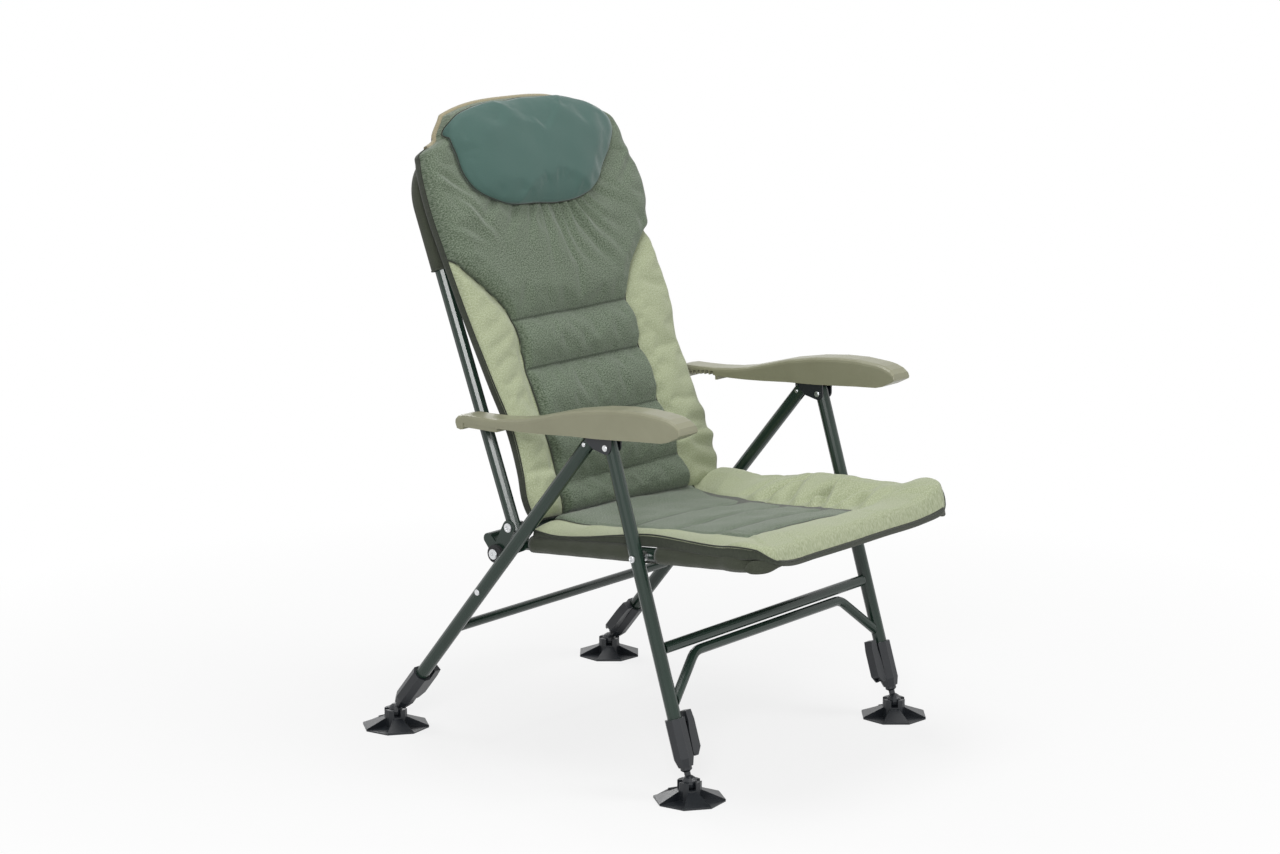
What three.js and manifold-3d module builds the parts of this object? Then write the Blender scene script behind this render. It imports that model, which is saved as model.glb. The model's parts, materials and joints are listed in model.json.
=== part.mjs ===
// Folding fishing chair with four telescopic legs, swivelling mud feet and a padded mattress.
// Millimetres, +Z up. The sitter faces -Y, so +X is the sitter's left.
import * as THREE from "three";
import { ConvexGeometry } from "three/addons/geometries/ConvexGeometry.js";
import { mergeVertices } from "three/addons/utils/BufferGeometryUtils.js";
import Module from "manifold-3d";

const wasm = await Module();
wasm.setup();

// Driving dimensions of the frame. Points are { y, z } in the side view.
const tubeR = 11;
const tubeWall = 1.5;
const braceR = 9;
const thinBraceR = 8;
const legX = 278.6;
const frameX = 248.6;
const armPivot = { y: -165, z: 535 };
const rearPivot = { y: -121, z: 534.5 };
const seatPivotZ = 369;
const hinge = { y: 56.5, z: 373 };
const stopRing = { y: 80.5, z: 328 };
const crossbar = { y: 100, z: 349 };
const ballHeight = 33;
const frontBall = { y: -318, z: ballHeight };
const rearBall = { y: 292, z: ballHeight };
const seatPivot = onLine(armPivot, frontBall, seatPivotZ);
const seatRiseShare = 0.0812;
const seatFrontY = -420;
const seatRearY = 40;
const seatBend = 62;
const backHeight = 598;
const backTopX = 236;
const backBend = 72;
const backTubeBelow = 8;

// Fits
const seatGap = 0.3;
const runningGap = 0.4;
const cutOver = 2;

// Telescopic leg ends
const innerLegR = tubeR - tubeWall - runningGap;
const innerLegLength = 150;
const sleeveLength = 75;
const sleeveR = 15;
const tubeInSleeve = 42;
const frontSleeveUp = 25;
const rearSleeveUp = 20;
const ballR = 12.3;
const neckR = 5;
const neckTop = 17;
const neckSlope = 3;
const footR = 56;
const ballUp = 27;

// Armrest and its rack
const armX = 284.5;
const armHalfWidth = 23;
const armWall = 3;
const pinR = 3;
const notchCount = 7;
const notchStep = THREE.MathUtils.degToRad(3);
const armLift = THREE.MathUtils.degToRad(6);

// Mattress
const slingThick = 2;
const padSideGap = 15.6;
const seatPadHalf = legX - tubeR - padSideGap;
const backPadHalf = 250;
const padThick = 32;

const steelGreen = new THREE.MeshStandardMaterial({ color: 0x1f3a33, roughness: 0.35, metalness: 0.4 });
const blackPlastic = new THREE.MeshStandardMaterial({ color: 0x23262a, roughness: 0.55, metalness: 0 });
const armPlastic = new THREE.MeshStandardMaterial({ color: 0x837c69, roughness: 0.45, metalness: 0 });
const zinc = new THREE.MeshStandardMaterial({ color: 0xc9cccd, roughness: 0.3, metalness: 0.9 });
const rubber = new THREE.MeshStandardMaterial({ color: 0x151618, roughness: 0.8, metalness: 0 });
const slingCloth = new THREE.MeshStandardMaterial({ color: 0x33362b, roughness: 0.9, metalness: 0 });
const padCloth = new THREE.MeshStandardMaterial({ color: 0x4b5a45, roughness: 0.95, metalness: 0 });
const pillowCloth = new THREE.MeshStandardMaterial({ color: 0x2c4a46, roughness: 0.85, metalness: 0 });

const chair = new THREE.Group();
const assembly = new THREE.Group();
chair.add(assembly);

// Solids
function solid(geometry) {
  const merged = mergeVertices(stripped(geometry), weld);
  const vertProperties = new Float32Array(merged.attributes.position.array);
  const triVerts = new Uint32Array(merged.index.array);
  const made = new wasm.Manifold(new wasm.Mesh({ numProp: 3, vertProperties, triVerts }));
  if (made.volume() < 0) throw new Error("a solid's faces point inwards");
  return made;
}

const weld = 1e-3;

function stripped(geometry) {
  return new THREE.BufferGeometry()
    .setAttribute("position", geometry.getAttribute("position"))
    .setIndex(geometry.index);
}

function geometryOf(manifold) {
  const mesh = manifold.getMesh();
  const position = new THREE.BufferAttribute(new Float32Array(mesh.vertProperties), mesh.numProp);
  const index = new THREE.BufferAttribute(new Uint32Array(mesh.triVerts), 1);
  return new THREE.BufferGeometry().setAttribute("position", position).setIndex(index);
}

function joined(geometries) {
  return geometryOf(geometries.map(solid).reduce((all, next) => all.add(next)));
}

function cut(geometry, tools) {
  return geometryOf(tools.map(solid).reduce((rest, tool) => rest.subtract(tool), solid(geometry)));
}

function add(name, geometry, material, parent) {
  const mesh = new THREE.Mesh(geometry, material);
  mesh.name = name;
  parent.add(mesh);
  return mesh;
}

// A copy of a geometry, moved.
function moved(geometry, x, y, z) {
  return geometry.clone().translate(x, y, z);
}

function polygon(radius, sides, turn = 0) {
  return Array.from({ length: sides }, (_, i) => {
    const angle = turn + (2 * Math.PI * i) / sides;
    return new THREE.Vector2(radius * Math.cos(angle), radius * Math.sin(angle));
  });
}

// A straight round bar along X from one place to another, at a point of the side view.
function barX(radius, from, to, point, sides = 16) {
  return new THREE.CylinderGeometry(radius, radius, to - from, sides)
    .rotateZ(Math.PI / 2)
    .translate((from + to) / 2, point.y, point.z);
}

// A turned piece on an X axis. Each stage is [radius, x where it ends]; the first starts at x = from.
function turnedX(from, stages, sides = 16) {
  const profile = [new THREE.Vector2(0, from)];
  let x = from;
  for (const [radius, end] of stages) {
    profile.push(new THREE.Vector2(radius, x), new THREE.Vector2(radius, end));
    x = end;
  }
  profile.push(new THREE.Vector2(0, x));
  return new THREE.LatheGeometry(profile, sides).rotateZ(-Math.PI / 2);
}

// A closed ring turned about Z.
function tubeZ(outer, inner, low, high, sides = 16) {
  const profile = [
    new THREE.Vector2(outer, low),
    new THREE.Vector2(outer, high),
    new THREE.Vector2(inner, high),
    new THREE.Vector2(inner, low),
    new THREE.Vector2(outer, low),
  ];
  return new THREE.LatheGeometry(profile, sides);
}

// A line of stations that ExtrudeGeometry follows as they are, so that only bends cost steps.
class StationCurve extends THREE.Curve {
  constructor(stations) {
    super();
    this.stations = stations;
  }
  getPoint(t, target = new THREE.Vector3()) {
    const place = Math.min(t, 1) * (this.stations.length - 1);
    const i = Math.min(Math.floor(place), this.stations.length - 2);
    return target.lerpVectors(this.stations[i], this.stations[i + 1], place - i);
  }
  getPointAt(t, target) {
    return this.getPoint(t, target);
  }
  getTangentAt(t, target = new THREE.Vector3()) {
    const i = Math.round(t * (this.stations.length - 1));
    const before = this.stations[Math.max(i - 1, 0)];
    const after = this.stations[Math.min(i + 1, this.stations.length - 1)];
    return target.subVectors(after, before).normalize();
  }
}

// Stations of a tube that runs straight between corners and bends round each inner corner.
function bentStations(corners, bendR, steps) {
  const stations = [corners[0]];
  for (let i = 1; i < corners.length - 1; i++) {
    const corner = corners[i];
    const back = new THREE.Vector3().subVectors(corners[i - 1], corner).normalize();
    const on = new THREE.Vector3().subVectors(corners[i + 1], corner).normalize();
    const half = back.angleTo(on) / 2;
    const bisector = new THREE.Vector3().addVectors(back, on).normalize();
    const centre = corner.clone().addScaledVector(bisector, bendR / Math.sin(half));
    const start = corner.clone().addScaledVector(back, bendR / Math.tan(half)).sub(centre);
    const end = corner.clone().addScaledVector(on, bendR / Math.tan(half)).sub(centre);
    const sweep = start.angleTo(end);
    for (let k = 0; k <= steps; k++) {
      const share = k / steps;
      const ray = start.clone().multiplyScalar(Math.sin((1 - share) * sweep) / Math.sin(sweep));
      ray.addScaledVector(end, Math.sin(share * sweep) / Math.sin(sweep));
      stations.push(ray.add(centre));
    }
  }
  stations.push(corners[corners.length - 1]);
  return stations;
}

function bentTube(corners, radius, bendR, steps, sides = 12) {
  const stations = bentStations(corners, bendR, steps);
  const section = new THREE.Shape(polygon(radius, sides));
  section.holes.push(new THREE.Path(polygon(radius - tubeWall, sides / 2).reverse()));
  return new THREE.ExtrudeGeometry(section, {
    steps: stations.length - 1,
    extrudePath: new StationCurve(stations),
  });
}

// An outline of the side view, points { y, z }, made into a plate between two x values.
function sidePlate(points, from, to) {
  const outline = new THREE.Shape(points.map((p) => new THREE.Vector2(p.y, p.z)));
  return new THREE.ExtrudeGeometry(outline, { depth: to - from, bevelEnabled: false })
    .applyMatrix4(new THREE.Matrix4().makeBasis(axisY, axisZ, axisX))
    .translate(from, 0, 0);
}

const axisX = new THREE.Vector3(1, 0, 0);
const axisY = new THREE.Vector3(0, 1, 0);
const axisZ = new THREE.Vector3(0, 0, 1);

// Points of a round stretch about a centre, from one angle to another.
function arc(centre, radius, from, to, steps) {
  return Array.from({ length: steps + 1 }, (_, i) => {
    const angle = from + ((to - from) * i) / steps;
    return { y: centre.y + radius * Math.cos(angle), z: centre.z + radius * Math.sin(angle) };
  });
}

// A group whose -Z runs from one point of the side view to another.
function lineFrame(from, to, x, parent) {
  const group = new THREE.Group();
  group.position.set(x, from.y, from.z);
  group.rotation.x = Math.atan2(to.y - from.y, from.z - to.z);
  parent.add(group);
  return group;
}

function span(a, b) {
  return Math.hypot(b.y - a.y, b.z - a.z);
}

// Both sides are built for +X and mirrored for the other side.
const sideGroups = ["left", "right"].map((word) => {
  const group = new THREE.Group();
  group.scale.x = word === "left" ? 1 : -1;
  assembly.add(group);
  return { word, group };
});

function onBothSides(name, geometry, material, place = (group) => group) {
  for (const { word, group } of sideGroups) {
    add(`${name}_${word}`, geometry, material, place(group));
  }
}

const frontLegLength = span(armPivot, frontBall);
const rearLegLength = span(rearPivot, rearBall);

// Outer leg tubes, with the holes of the pivots that pass through them
const legTopOver = 9.5;
const tongueHalf = 2.5;
const slotDown = 10.5;
const boltR = 3.8;
const rivetR = 3;
const stopRivetDown = 348;
const thinRivetR = 2.2;
const rivetHole = rivetR + seatGap;
const thinRivetHole = thinRivetR + seatGap;
const boltHole = boltR + seatGap;

function legTube(length, sleeveUp, holes, slots = []) {
  const low = -(length - sleeveUp - sleeveLength + tubeInSleeve);
  const tube = tubeZ(tubeR, tubeR - tubeWall, low, legTopOver);
  const drills = holes.map(([radius, down]) =>
    barX(radius, -tubeR - cutOver, tubeR + cutOver, { y: 0, z: -down }, 12),
  );
  return cut(zUp(tube), [...drills, ...slots]);
}

// LatheGeometry turns about Y, so this stands its result up along Z.
function zUp(geometry) {
  return geometry.rotateX(Math.PI / 2);
}

onBothSides(
  "front_leg",
  legTube(frontLegLength, frontSleeveUp, [
    [rivetHole, 0],
    [boltHole, span(armPivot, seatPivot)],
  ]),
  steelGreen,
  (group) => lineFrame(armPivot, frontBall, legX, group),
);
const slotHigh = slotDown + legTopOver + cutOver;
const tongueSlot = new THREE.BoxGeometry(2 * (tongueHalf + seatGap), 4 * tubeR, slotHigh);
tongueSlot.translate(0, 0, slotHigh / 2 - slotDown);
onBothSides(
  "rear_leg",
  legTube(
    rearLegLength,
    rearSleeveUp,
    [
      [thinRivetHole, 0],
      [rivetHole, stopRivetDown],
    ],
    [tongueSlot],
  ),
  steelGreen,
  (group) => lineFrame(rearPivot, rearBall, legX, group),
);

// Point of the side view on a line, at a height
function onLine(a, b, z) {
  return { y: a.y + ((b.y - a.y) * (a.z - z)) / (a.z - b.z), z };
}

// Cross tubes between the legs
const braceEndX = legX - tubeR - seatGap;
const upperBraceZ = 231;
const lowerBraceEndZ = 144;
const lowerBraceZ = 213;
const lowerBraceIn = 72;
const lowerBraceBend = 34;
const rearBraceZ = 196;

function straightBrace(radius, point) {
  const stations = [-braceEndX, braceEndX].map((x) => new THREE.Vector3(x, point.y, point.z));
  return bentTube(stations, radius, radius, 1, 16);
}

const upperBrace = straightBrace(braceR, onLine(armPivot, frontBall, upperBraceZ));
add("front_upper_brace", upperBrace, steelGreen, assembly);
const braceLow = onLine(armPivot, frontBall, lowerBraceEndZ);
const braceHigh = onLine(armPivot, frontBall, lowerBraceZ);
const lowerBraceCorners = [
  new THREE.Vector3(-legX, braceLow.y, braceLow.z),
  new THREE.Vector3(-braceEndX + lowerBraceIn, braceHigh.y, braceHigh.z),
  new THREE.Vector3(braceEndX - lowerBraceIn, braceHigh.y, braceHigh.z),
  new THREE.Vector3(legX, braceLow.y, braceLow.z),
];
const braceTrims = [-1, 1].map((side) =>
  moved(new THREE.BoxGeometry(legX, legX, legX), side * (braceEndX + legX / 2), braceLow.y, braceLow.z),
);
const lowerBrace = cut(bentTube(lowerBraceCorners, thinBraceR, lowerBraceBend, 3, 12), braceTrims);
add("front_lower_brace", lowerBrace, steelGreen, assembly);
add("rear_brace", straightBrace(thinBraceR, onLine(rearPivot, rearBall, rearBraceZ)), steelGreen, assembly);

// Seat frame: a U tube whose bend is at the front. Its side tubes pass through the seat pivot.
function seatLine(y) {
  return seatPivot.z + (seatPivot.y - y) * seatRiseShare;
}

function seatPoint(x, y, above = 0) {
  return new THREE.Vector3(x, y + above * seatRiseShare, seatLine(y) + above);
}

const seatCorners = [
  seatPoint(-frameX, seatRearY),
  seatPoint(-frameX, seatFrontY),
  seatPoint(frameX, seatFrontY),
  seatPoint(frameX, seatRearY),
];
const seatBoltDrills = [-1, 1].map((side) =>
  barX(boltHole, side * frameX - tubeR - cutOver, side * frameX + tubeR + cutOver, seatPivot, 12),
);
add("seat_frame", cut(bentTube(seatCorners, tubeR, seatBend, 6), seatBoltDrills), steelGreen, assembly);

// Backrest frame: a U tube whose bend is at the top. The pins in its front face set how it leans:
// hinge, pin, seat pivot and arm pivot are a parallelogram, so that the chair folds.
const pinOff = tubeR + pinR + seatGap;
const armLine = { y: armPivot.y - seatPivot.y, z: armPivot.z - seatPivot.z };
const pinReach = Math.hypot(armLine.y, armLine.z);
const backLean = Math.atan2(armLine.y, armLine.z) + Math.asin(pinOff / pinReach);
const pin = { y: hinge.y + armLine.y, z: hinge.z + armLine.z };

const backGroup = new THREE.Group();
backGroup.position.set(0, hinge.y, hinge.z);
backGroup.rotation.x = -backLean;
assembly.add(backGroup);

// In the backrest's own frame +Z runs up the backrest and -Y faces the sitter.
const backCorners = [
  new THREE.Vector3(-frameX, 0, -backTubeBelow),
  new THREE.Vector3(-backTopX, 0, backHeight),
  new THREE.Vector3(backTopX, 0, backHeight),
  new THREE.Vector3(frameX, 0, -backTubeBelow),
];
const backDrills = [-1, 1].map((side) =>
  barX(boltHole, side * frameX - tubeR - cutOver, side * frameX + tubeR + cutOver, { y: 0, z: 0 }, 12),
);
add("back_frame", cut(bentTube(backCorners, tubeR, backBend, 6), backDrills), steelGreen, backGroup);

// Hinge plates, one on each side, outside the tubes
const plateThick = 3;
const plateIn = frameX + tubeR + seatGap;
const plateOut = plateIn + plateThick;
const hingeEyeR = 12;
const plateRingR = 11;
const plateSeatR = 10;
const plateSeatEnd = { y: seatRearY - tubeR, z: seatLine(seatRearY - tubeR) };
const crossbarR = braceR;

function hullPlate(circles, from, to, steps = 14) {
  const points = [];
  for (const [centre, radius] of circles) {
    for (const p of arc(centre, radius, 0, 2 * Math.PI - (2 * Math.PI) / steps, steps - 1)) {
      points.push(new THREE.Vector3(from, p.y, p.z), new THREE.Vector3(to, p.y, p.z));
    }
  }
  return new ConvexGeometry(points);
}

const hingePlate = cut(
  joined([
    hullPlate([[hinge, hingeEyeR], [stopRing, plateRingR]], plateIn, plateOut),
    hullPlate([[stopRing, plateRingR], [plateSeatEnd, plateSeatR]], plateIn, plateOut),
    hullPlate([[stopRing, plateRingR], [crossbar, crossbarR]], plateIn, plateOut),
  ]),
  [hinge, stopRing].map((point) => barX(boltHole, plateIn - cutOver, plateOut + cutOver, point, 12)),
);
onBothSides("hinge_plate", hingePlate, steelGreen);

const crossbarEnd = plateIn - seatGap;
const crossbarLine = [-crossbarEnd, crossbarEnd].map((x) => new THREE.Vector3(x, crossbar.y, crossbar.z));
add("rear_crossbar", bentTube(crossbarLine, crossbarR, crossbarR, 1, 16), steelGreen, assembly);

// Cross-head screws. The slots are cut across the head.
const screwHeadR = 7.5;
const screwHeadHigh = 3.2;
const slotWide = 1.6;
const slotDeep = 1.4;
const slotLong = 7;

function crossSlots(x, point) {
  return [0, Math.PI / 2].map((turn) =>
    new THREE.BoxGeometry(slotDeep * 2, slotLong, slotWide).rotateX(turn).translate(x, point.y, point.z),
  );
}

function screwX(from, stages, point) {
  const body = moved(turnedX(from, stages, 12), 0, point.y, point.z);
  return cut(body, crossSlots(stages[stages.length - 1][1], point));
}

const headChamfer = 1.2;
const nutR = 7;
const nutHigh = 5;
const hingeNutIn = frameX - tubeR - seatGap;
const hingeHead = plateOut + seatGap;
const hingeScrew = screwX(
  hingeNutIn - nutHigh,
  [
    [nutR, hingeNutIn],
    [boltR, hingeHead],
    [screwHeadR, hingeHead + screwHeadHigh - headChamfer],
    [screwHeadR - headChamfer, hingeHead + screwHeadHigh],
  ],
  hinge,
);
onBothSides("hinge_screw", hingeScrew, zinc);

// Stop rings behind the rear legs. Each turns on a bolt through the hinge plate.
const stopRingR = 14.5;
const stopRingWide = 8;
const stopRingIn = plateOut + 2 * seatGap;
const stopRingOut = stopRingIn + stopRingWide;
const stopHeadR = 8.5;
const ringLip = 1.5;
const ringProfile = [
  new THREE.Vector2(boltHole, stopRingIn),
  new THREE.Vector2(stopRingR, stopRingIn),
  new THREE.Vector2(stopRingR, stopRingOut - ringLip),
  new THREE.Vector2(stopRingR - ringLip, stopRingOut),
  new THREE.Vector2(boltHole, stopRingOut),
  new THREE.Vector2(boltHole, stopRingIn),
];
const stopRingSolid = new THREE.LatheGeometry(ringProfile, 20).rotateZ(-Math.PI / 2);
onBothSides("stop_ring", moved(stopRingSolid, 0, stopRing.y, stopRing.z), rubber);
const stopHead = stopRingOut + seatGap;
const stopBoltIn = plateIn - seatGap;
const stopBolt = screwX(
  stopBoltIn - nutHigh,
  [
    [nutR, stopBoltIn],
    [boltR, stopHead],
    [stopHeadR, stopHead + screwHeadHigh - headChamfer],
    [stopHeadR - headChamfer, stopHead + screwHeadHigh],
  ],
  stopRing,
);
onBothSides("stop_bolt", stopBolt, zinc);

// Seat bolts: through the front leg and the seat tube, with a shoulder that keeps them apart
const legOut = legX + tubeR;
const legIn = legX - tubeR;
const seatTubeOut = frameX + tubeR;
const seatTubeIn = frameX - tubeR;
const shoulderR = 8;
const seatHeadR = 5.5;
const seatBolt = screwX(
  seatTubeIn - seatGap - nutHigh,
  [
    [nutR, seatTubeIn - seatGap],
    [boltR, seatTubeOut + seatGap],
    [shoulderR, legIn - seatGap],
    [boltR, legOut + seatGap],
    [seatHeadR, legOut + screwHeadHigh - headChamfer],
    [seatHeadR - headChamfer, legOut + screwHeadHigh],
  ],
  seatPivot,
);
onBothSides("seat_bolt", seatBolt, zinc);

// Stop rivets of the telescopic rear legs
const rivetHeadR = 5;
const thinHeadR = 3.4;
const rivetHeadHigh = 2.2;
const rearDirection = {
  y: (rearBall.y - rearPivot.y) / rearLegLength,
  z: (rearBall.z - rearPivot.z) / rearLegLength,
};
const stopRivetPoint = {
  y: rearPivot.y + rearDirection.y * stopRivetDown,
  z: rearPivot.z + rearDirection.z * stopRivetDown,
};
const stopRivetEnd = innerLegR + runningGap + seatGap;
const stopRivet = turnedX(
  legX + stopRivetEnd,
  [
    [rivetR, legOut + seatGap],
    [rivetHeadR, legOut + rivetHeadHigh - headChamfer],
    [rivetHeadR - headChamfer, legOut + rivetHeadHigh],
  ],
  12,
);
onBothSides("stop_rivet", moved(stopRivet, 0, stopRivetPoint.y, stopRivetPoint.z), zinc);

// Armrest bracket: a channel over the tops of both legs, riveted through each
const bracketIn = tubeR + seatGap;
const bracketWall = 2.7;
const bracketOut = bracketIn + bracketWall;
const eyeFrontR = 10;
const eyeRearR = 9;
const bracketHigh = 21.5;
const bracketLong = 37.5;
const bracketSlant = 14;
const bracketTopZ = armPivot.z + bracketHigh;
const bracketFront = armPivot.y - eyeFrontR;
const plateRear = armPivot.y + bracketLong;
const bracketWeb = 3;
const slotSteps = 2;

// The side plates reach from the front leg to a slanting rear edge. A tongue goes on from there into
// the slotted top of the rear leg.
function bracketOutline() {
  return [
    { y: plateRear, z: bracketTopZ },
    { y: bracketFront, z: bracketTopZ },
    ...arc(armPivot, eyeFrontR, Math.PI, 1.5 * Math.PI, 5),
    { y: plateRear - bracketSlant, z: armPivot.z - 0.45 * eyeFrontR },
    { y: plateRear, z: armPivot.z + 0.55 * eyeFrontR },
  ];
}

function tongueOutline() {
  return [
    { y: rearPivot.y + eyeRearR, z: bracketTopZ },
    { y: armPivot.y + 1.8 * eyeFrontR, z: bracketTopZ },
    { y: armPivot.y + 1.8 * eyeFrontR, z: armPivot.z + 0.6 * eyeFrontR },
    ...arc(rearPivot, eyeRearR, 1.2 * Math.PI, 2 * Math.PI, 6),
  ];
}

function turnedAbout(point, centre, angle) {
  const y = point.y - centre.y;
  const z = point.z - centre.z;
  return {
    y: centre.y + y * Math.cos(angle) - z * Math.sin(angle),
    z: centre.z + y * Math.sin(angle) + z * Math.cos(angle),
  };
}

const cavityHigh = bracketTopZ - bracketWeb - armPivot.z + 2 * eyeFrontR;
const bracketCavity = new THREE.BoxGeometry(2 * bracketIn, 2 * (plateRear - bracketFront), cavityHigh);
bracketCavity.translate(legX, bracketFront, bracketTopZ - bracketWeb - cavityHigh / 2);
const slotPlaces = Array.from({ length: slotSteps + 1 }, (_, i) =>
  turnedAbout(rearPivot, armPivot, (-armLift * i) / slotSteps),
);
const bracketDrills = [
  barX(rivetHole, legX - bracketOut - cutOver, legX + bracketOut + cutOver, armPivot, 12),
  ...slotPlaces.map((point) => barX(thinRivetHole, legX - bracketIn, legX + bracketIn, point, 12)),
];
const bracketChannel = cut(sidePlate(bracketOutline(), legX - bracketOut, legX + bracketOut), [
  bracketCavity,
]);
const bracketTongue = sidePlate(tongueOutline(), legX - tongueHalf, legX + tongueHalf);
const bracket = cut(joined([bracketChannel, bracketTongue]), bracketDrills);
onBothSides("armrest_bracket", bracket, blackPlastic);

function throughRivet(point, shaftR, headR, head) {
  const body = turnedX(
    legX - head - rivetHeadHigh,
    [
      [headR - headChamfer, legX - head - rivetHeadHigh + headChamfer],
      [headR, legX - head],
      [shaftR, legX + head],
      [headR, legX + head + rivetHeadHigh - headChamfer],
      [headR - headChamfer, legX + head + rivetHeadHigh],
    ],
    10,
  );
  return moved(body, 0, point.y, point.z);
}

onBothSides("arm_rivet", throughRivet(armPivot, rivetR, rivetHeadR, bracketOut + seatGap), zinc);
onBothSides("rear_leg_rivet", throughRivet(rearPivot, thinRivetR, thinHeadR, tubeR + seatGap), zinc);

// Armrest: a hollow moulded shell. Stations are places along the armrest with the heights of its
// top and of its lower edge, measured from the arm pivot.
const armTop = 67;
const armUnder = 16;
const armFrontY = -153;
const armRearY = 291;
const noseFrontY = pin.y - armPivot.y + pinR + runningGap;
const noseDrop = -4;
const noseStep = 0.1;
const noseRound = 5;
const noseEndRound = 3;
const edgeR = 7;
const armStations = [
  { y: armFrontY, top: 0.66 * armTop, low: 0.6 * armTop },
  { y: armFrontY + 0.02 * armTop, top: 0.75 * armTop, low: 2.4 * armUnder },
  { y: armFrontY + 0.14 * armTop, top: 0.85 * armTop, low: 2.15 * armUnder },
  { y: armFrontY + 0.33 * armTop, top: 0.92 * armTop, low: 1.75 * armUnder },
  { y: armFrontY + 0.52 * armTop, top: 0.955 * armTop, low: 1.55 * armUnder },
  { y: armFrontY + 1.1 * armTop, top: armTop, low: 1.4 * armUnder },
  { y: armFrontY + 1.7 * armTop, top: 0.985 * armTop, low: 1.2 * armUnder },
  { y: 0.02 * armRearY, top: 0.92 * armTop, low: armUnder },
  { y: 0.21 * armRearY, top: 0.775 * armTop, low: 0.85 * armUnder },
  { y: 0.38 * armRearY, top: 0.58 * armTop, low: 0.62 * armUnder },
  { y: 0.5 * armRearY, top: 0.44 * armTop, low: 0.5 * armUnder },
  { y: 0.61 * armRearY, top: 0.36 * armTop, low: 0.45 * armUnder },
  { y: 0.74 * armRearY, top: 0.31 * armTop, low: 0.45 * armUnder },
  { y: 0.86 * armRearY, top: 0.293 * armTop, low: 0.45 * armUnder },
  { y: noseFrontY, top: 0.293 * armTop, low: 0.45 * armUnder },
  { y: noseFrontY + noseStep, top: 0.293 * armTop, low: 0.75 * noseDrop },
  { y: noseFrontY + noseRound, top: 0.28 * armTop, low: noseDrop },
  { y: armRearY - noseEndRound, top: 0.26 * armTop, low: 0.6 * noseDrop },
  { y: armRearY, top: 0.19 * armTop, low: 0.35 * armUnder },
];

function armSection(station, half) {
  const { top, low } = station;
  const r = Math.min(edgeR, (top - low) * 0.45, half * 0.5);
  const ring = [new THREE.Vector2(-half, low)];
  for (let i = 0; i <= 3; i++) {
    const angle = Math.PI - (i * Math.PI) / 6;
    ring.push(new THREE.Vector2(-half + r + r * Math.cos(angle), top - r + r * Math.sin(angle)));
  }
  const mirrored = ring.map((p) => new THREE.Vector2(-p.x, p.y)).reverse();
  return [...ring, ...mirrored];
}

// A solid through sections that all have as many points, each { y, ring }.
function loft(sections) {
  const count = sections[0].ring.length;
  const position = [];
  const index = [];
  for (const { y, ring } of sections) {
    for (const p of ring) position.push(p.x, y, p.y);
  }
  for (let s = 0; s < sections.length - 1; s++) {
    for (let i = 0; i < count; i++) {
      const a = s * count + i;
      const b = s * count + ((i + 1) % count);
      index.push(a, b, a + count, b, b + count, a + count);
    }
  }
  const last = (sections.length - 1) * count;
  for (const [first, turn] of [[0, true], [last, false]]) {
    const faces = THREE.ShapeUtils.triangulateShape(
      sections[first / count].ring.map((p) => p.clone()),
      [],
    );
    for (const [a, b, c] of faces) {
      if (turn) index.push(first + a, first + b, first + c);
      else index.push(first + c, first + b, first + a);
    }
  }
  return facingOut(position, index);
}

// Builds an indexed geometry, and turns its faces round if they point in.
function facingOut(position, index) {
  const geometry = new THREE.BufferGeometry();
  geometry.setAttribute("position", new THREE.Float32BufferAttribute(position, 3));
  const corners = [new THREE.Vector3(), new THREE.Vector3(), new THREE.Vector3()];
  let volume = 0;
  for (let i = 0; i < index.length; i += 3) {
    corners.forEach((corner, k) => corner.fromArray(position, 3 * index[i + k]));
    volume += corners[0].dot(corners[1].clone().cross(corners[2]));
  }
  if (volume < 0) {
    for (let i = 0; i < index.length; i += 3) [index[i], index[i + 1]] = [index[i + 1], index[i]];
  }
  geometry.setIndex(index);
  return geometry;
}

// Height of the armrest's top above the arm pivot, at a place along it
function armTopAt(y) {
  const next = armStations.findIndex((s) => s.y > y);
  const [a, b] = [armStations[next - 1], armStations[next]];
  return a.top + ((b.top - a.top) * (y - a.y)) / (b.y - a.y);
}

const hollowFront = 14;
const hollowSections = armStations
  .filter((s) => s.y > armFrontY + hollowFront && s.y <= noseFrontY)
  .map((s) => ({
    y: s.y,
    ring: [
      new THREE.Vector2(-armHalfWidth + armWall, noseDrop - armUnder),
      new THREE.Vector2(-armHalfWidth + armWall, s.top - armWall - edgeR / 2),
      new THREE.Vector2(-armHalfWidth + armWall + edgeR / 2, s.top - armWall),
      new THREE.Vector2(armHalfWidth - armWall - edgeR / 2, s.top - armWall),
      new THREE.Vector2(armHalfWidth - armWall, s.top - armWall - edgeR / 2),
      new THREE.Vector2(armHalfWidth - armWall, noseDrop - armUnder),
    ],
  }));

// The rack: one notch for each place of the pin as the backrest turns on its hinge
const notchHalf = pinR + runningGap;
const notchBevel = 1;
const toothTip = 3.5;
const trackFrontOver = 4;
const rackTopOver = 1;

function notchPlace(i) {
  const turned = turnedAbout(pin, hinge, notchStep * i);
  return { y: turned.y - armPivot.y, z: turned.z - armPivot.z };
}

const rackFront = notchPlace(notchCount - 1).y - notchHalf - trackFrontOver;
const rackRear = noseFrontY + armWall;

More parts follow.
